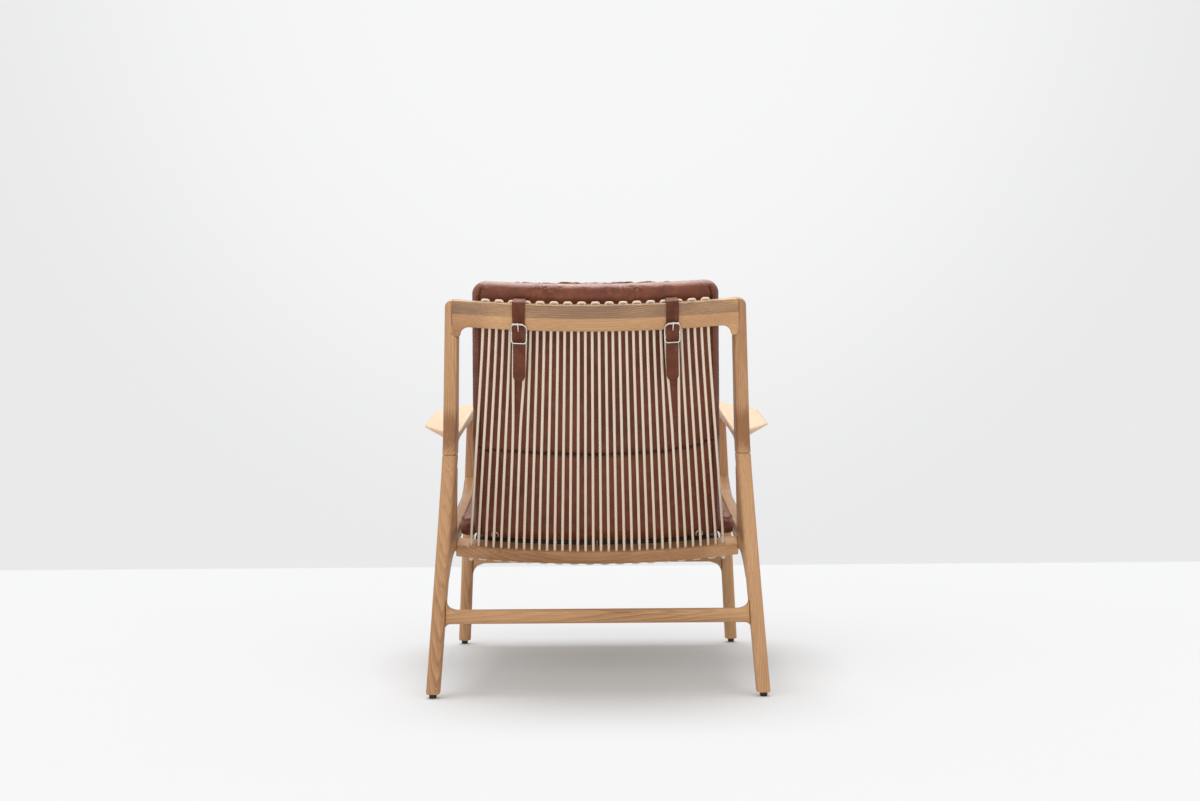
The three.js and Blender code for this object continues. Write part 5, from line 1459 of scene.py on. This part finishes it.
def finish_seat(piece):
    true_width(piece, seat_place, seat_half)
    shape_border(piece, seat_level, seat_edge(0, 2), SEAT_UP, seat_profile, SEAT["border"], 0.85)
    seams = seams_of("seat", piece.data)
    press_seams(piece, seams, SEAM_WIDTH, 1.2 * MM, 0.4 * MM)
    press_folds(piece, seat_place, SEAT_FOLDS, lambda normal, up: up > 20)
    sag_corners(piece)
    return seams, [(-5 * MM,), (5 * MM,)]


def make_cushions():
    hide = leather("cushion_leather", HIDE, HIDE_DEEP, HIDE_WORN, creases=TOP_CREASES)
    sewing = thread()
    forms = {kind: cushion_form(kind) for kind in ("back", "seat")}
    work = {"back": (finish_back, "frame"), "seat": (finish_seat, "seat_cushion")}
    for kind, piece in swollen(forms).items():
        shape_cover, body = work[kind]
        piece.name = f"{kind}_cushion_cover"
        piece.data.materials.clear()
        piece.data.materials.append(hide)
        fill_out(piece, forms[kind])
        refine(piece)
        match_box(piece, forms[kind])
        seams, offsets = shape_cover(piece)
        stitches = make_stitches(f"{kind}_cushion_stitches", piece, seams, offsets, sewing)
        keep(piece, f"{kind}_cushion", body)
        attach(stitches, body)


# Room

FLOOR_EDGE = -2.197           # where the floor meets the wall behind the chair
FLOOR_ALBEDO = 0.8
SEEN_ALBEDO = (0.515, 0.530, 0.552)
SEEN_GLOW = (0.195, 0.180, 0.162)
FLOOR_REACH = 14
WALL_SIDE = 0.83
WALL_TOP = 0.94
AMBIENT = 0.44
CAMERA_SIDE = 0.90
LIGHT_FROM = Vector((0.28, 0.88, 0.30)).normalized()
GLOW_FROM = Vector((0.0, -0.96, 0.26)).normalized()
SOFTBOX_AT = Vector((0.0, -0.45, 0.89)).normalized()
SOFTBOX = 4.4
OVERHEAD = 0.73
OVERHEAD_SPREAD = 33 * DEGREE
OVERHEAD_WAY = Vector((-0.05, 0.19, -1))


def floor_material():
    """A white floor. What is seen of it directly has part of its tone as glow: the shadow stays soft."""
    s = Shader("pale_floor")
    colour = s.blend(s.noise(s.place, 2.0, 3), tuple(c * 0.992 for c in SEEN_ALBEDO), SEEN_ALBEDO)
    glow = {"Specular IOR Level": 0.0, "Emission Strength": 1.0, "Emission Color": (*SEEN_GLOW, 1)}
    s.finish(colour, 0.9, constants=glow)
    plain = s.made("ShaderNodeBsdfDiffuse", "BSDF", {"Color": (FLOOR_ALBEDO,) * 3 + (1,)})
    s.feed(s.output, s.mix(s.seen_directly(), plain, s.surface.outputs["BSDF"]))
    return s.material


def make_floor():
    mesh = bpy.data.meshes.new("floor")
    reach = FLOOR_REACH
    corners = [(-reach, FLOOR_EDGE, 0), (reach, FLOOR_EDGE, 0), (reach, reach, 0), (-reach, reach, 0)]
    mesh.from_pydata(corners, [], [(0, 1, 2, 3)])
    new_object("floor", mesh, floor_material())


def make_world():
    world = bpy.data.worlds.new("studio")
    bpy.context.scene.world = world
    world.use_nodes = True
    s = Nodes(world.node_tree)
    way_seen = s.add("ShaderNodeTexCoord").outputs["Generated"]

    def facing(direction, low, high, to_low, to_high):
        return s.ramp(s.dot(way_seen, direction), low, high, to_low, to_high)

    def background(colour, strength):
        return s.made("ShaderNodeBackground", "Background", {"Color": (*colour, 1), "Strength": strength})

    light = background((1.0, 0.99, 0.975), facing(LIGHT_FROM, 0.0, 1.0, AMBIENT, AMBIENT + CAMERA_SIDE))
    glow = facing(GLOW_FROM, 0.93, 1.0, WALL_SIDE, WALL_TOP)
    wall = background((0.990, 0.992, 1.0), s.plus(glow, facing(SOFTBOX_AT, 0.78, 0.93, 0.0, SOFTBOX)))
    s.feed(s.add("ShaderNodeOutputWorld").inputs["Surface"], s.mix(s.seen_directly(), light, wall))


def make_lights():
    """One wide softbox far above."""
    data = bpy.data.lights.new("overhead", "SUN")
    data.energy = OVERHEAD * math.pi
    data.angle = OVERHEAD_SPREAD
    lamp = bpy.data.objects.new("overhead", data)
    lamp.rotation_euler = OVERHEAD_WAY.to_track_quat("-Z", "Y").to_euler()
    bpy.context.scene.collection.objects.link(lamp)


make_camera()
make_world()
make_floor()
make_lights()
dress_wood()
dress_hardware()
make_cord()
make_straps()
make_sleeves()
make_webbing()
make_cushions()

bpy.context.scene.view_settings.view_transform = "Standard"
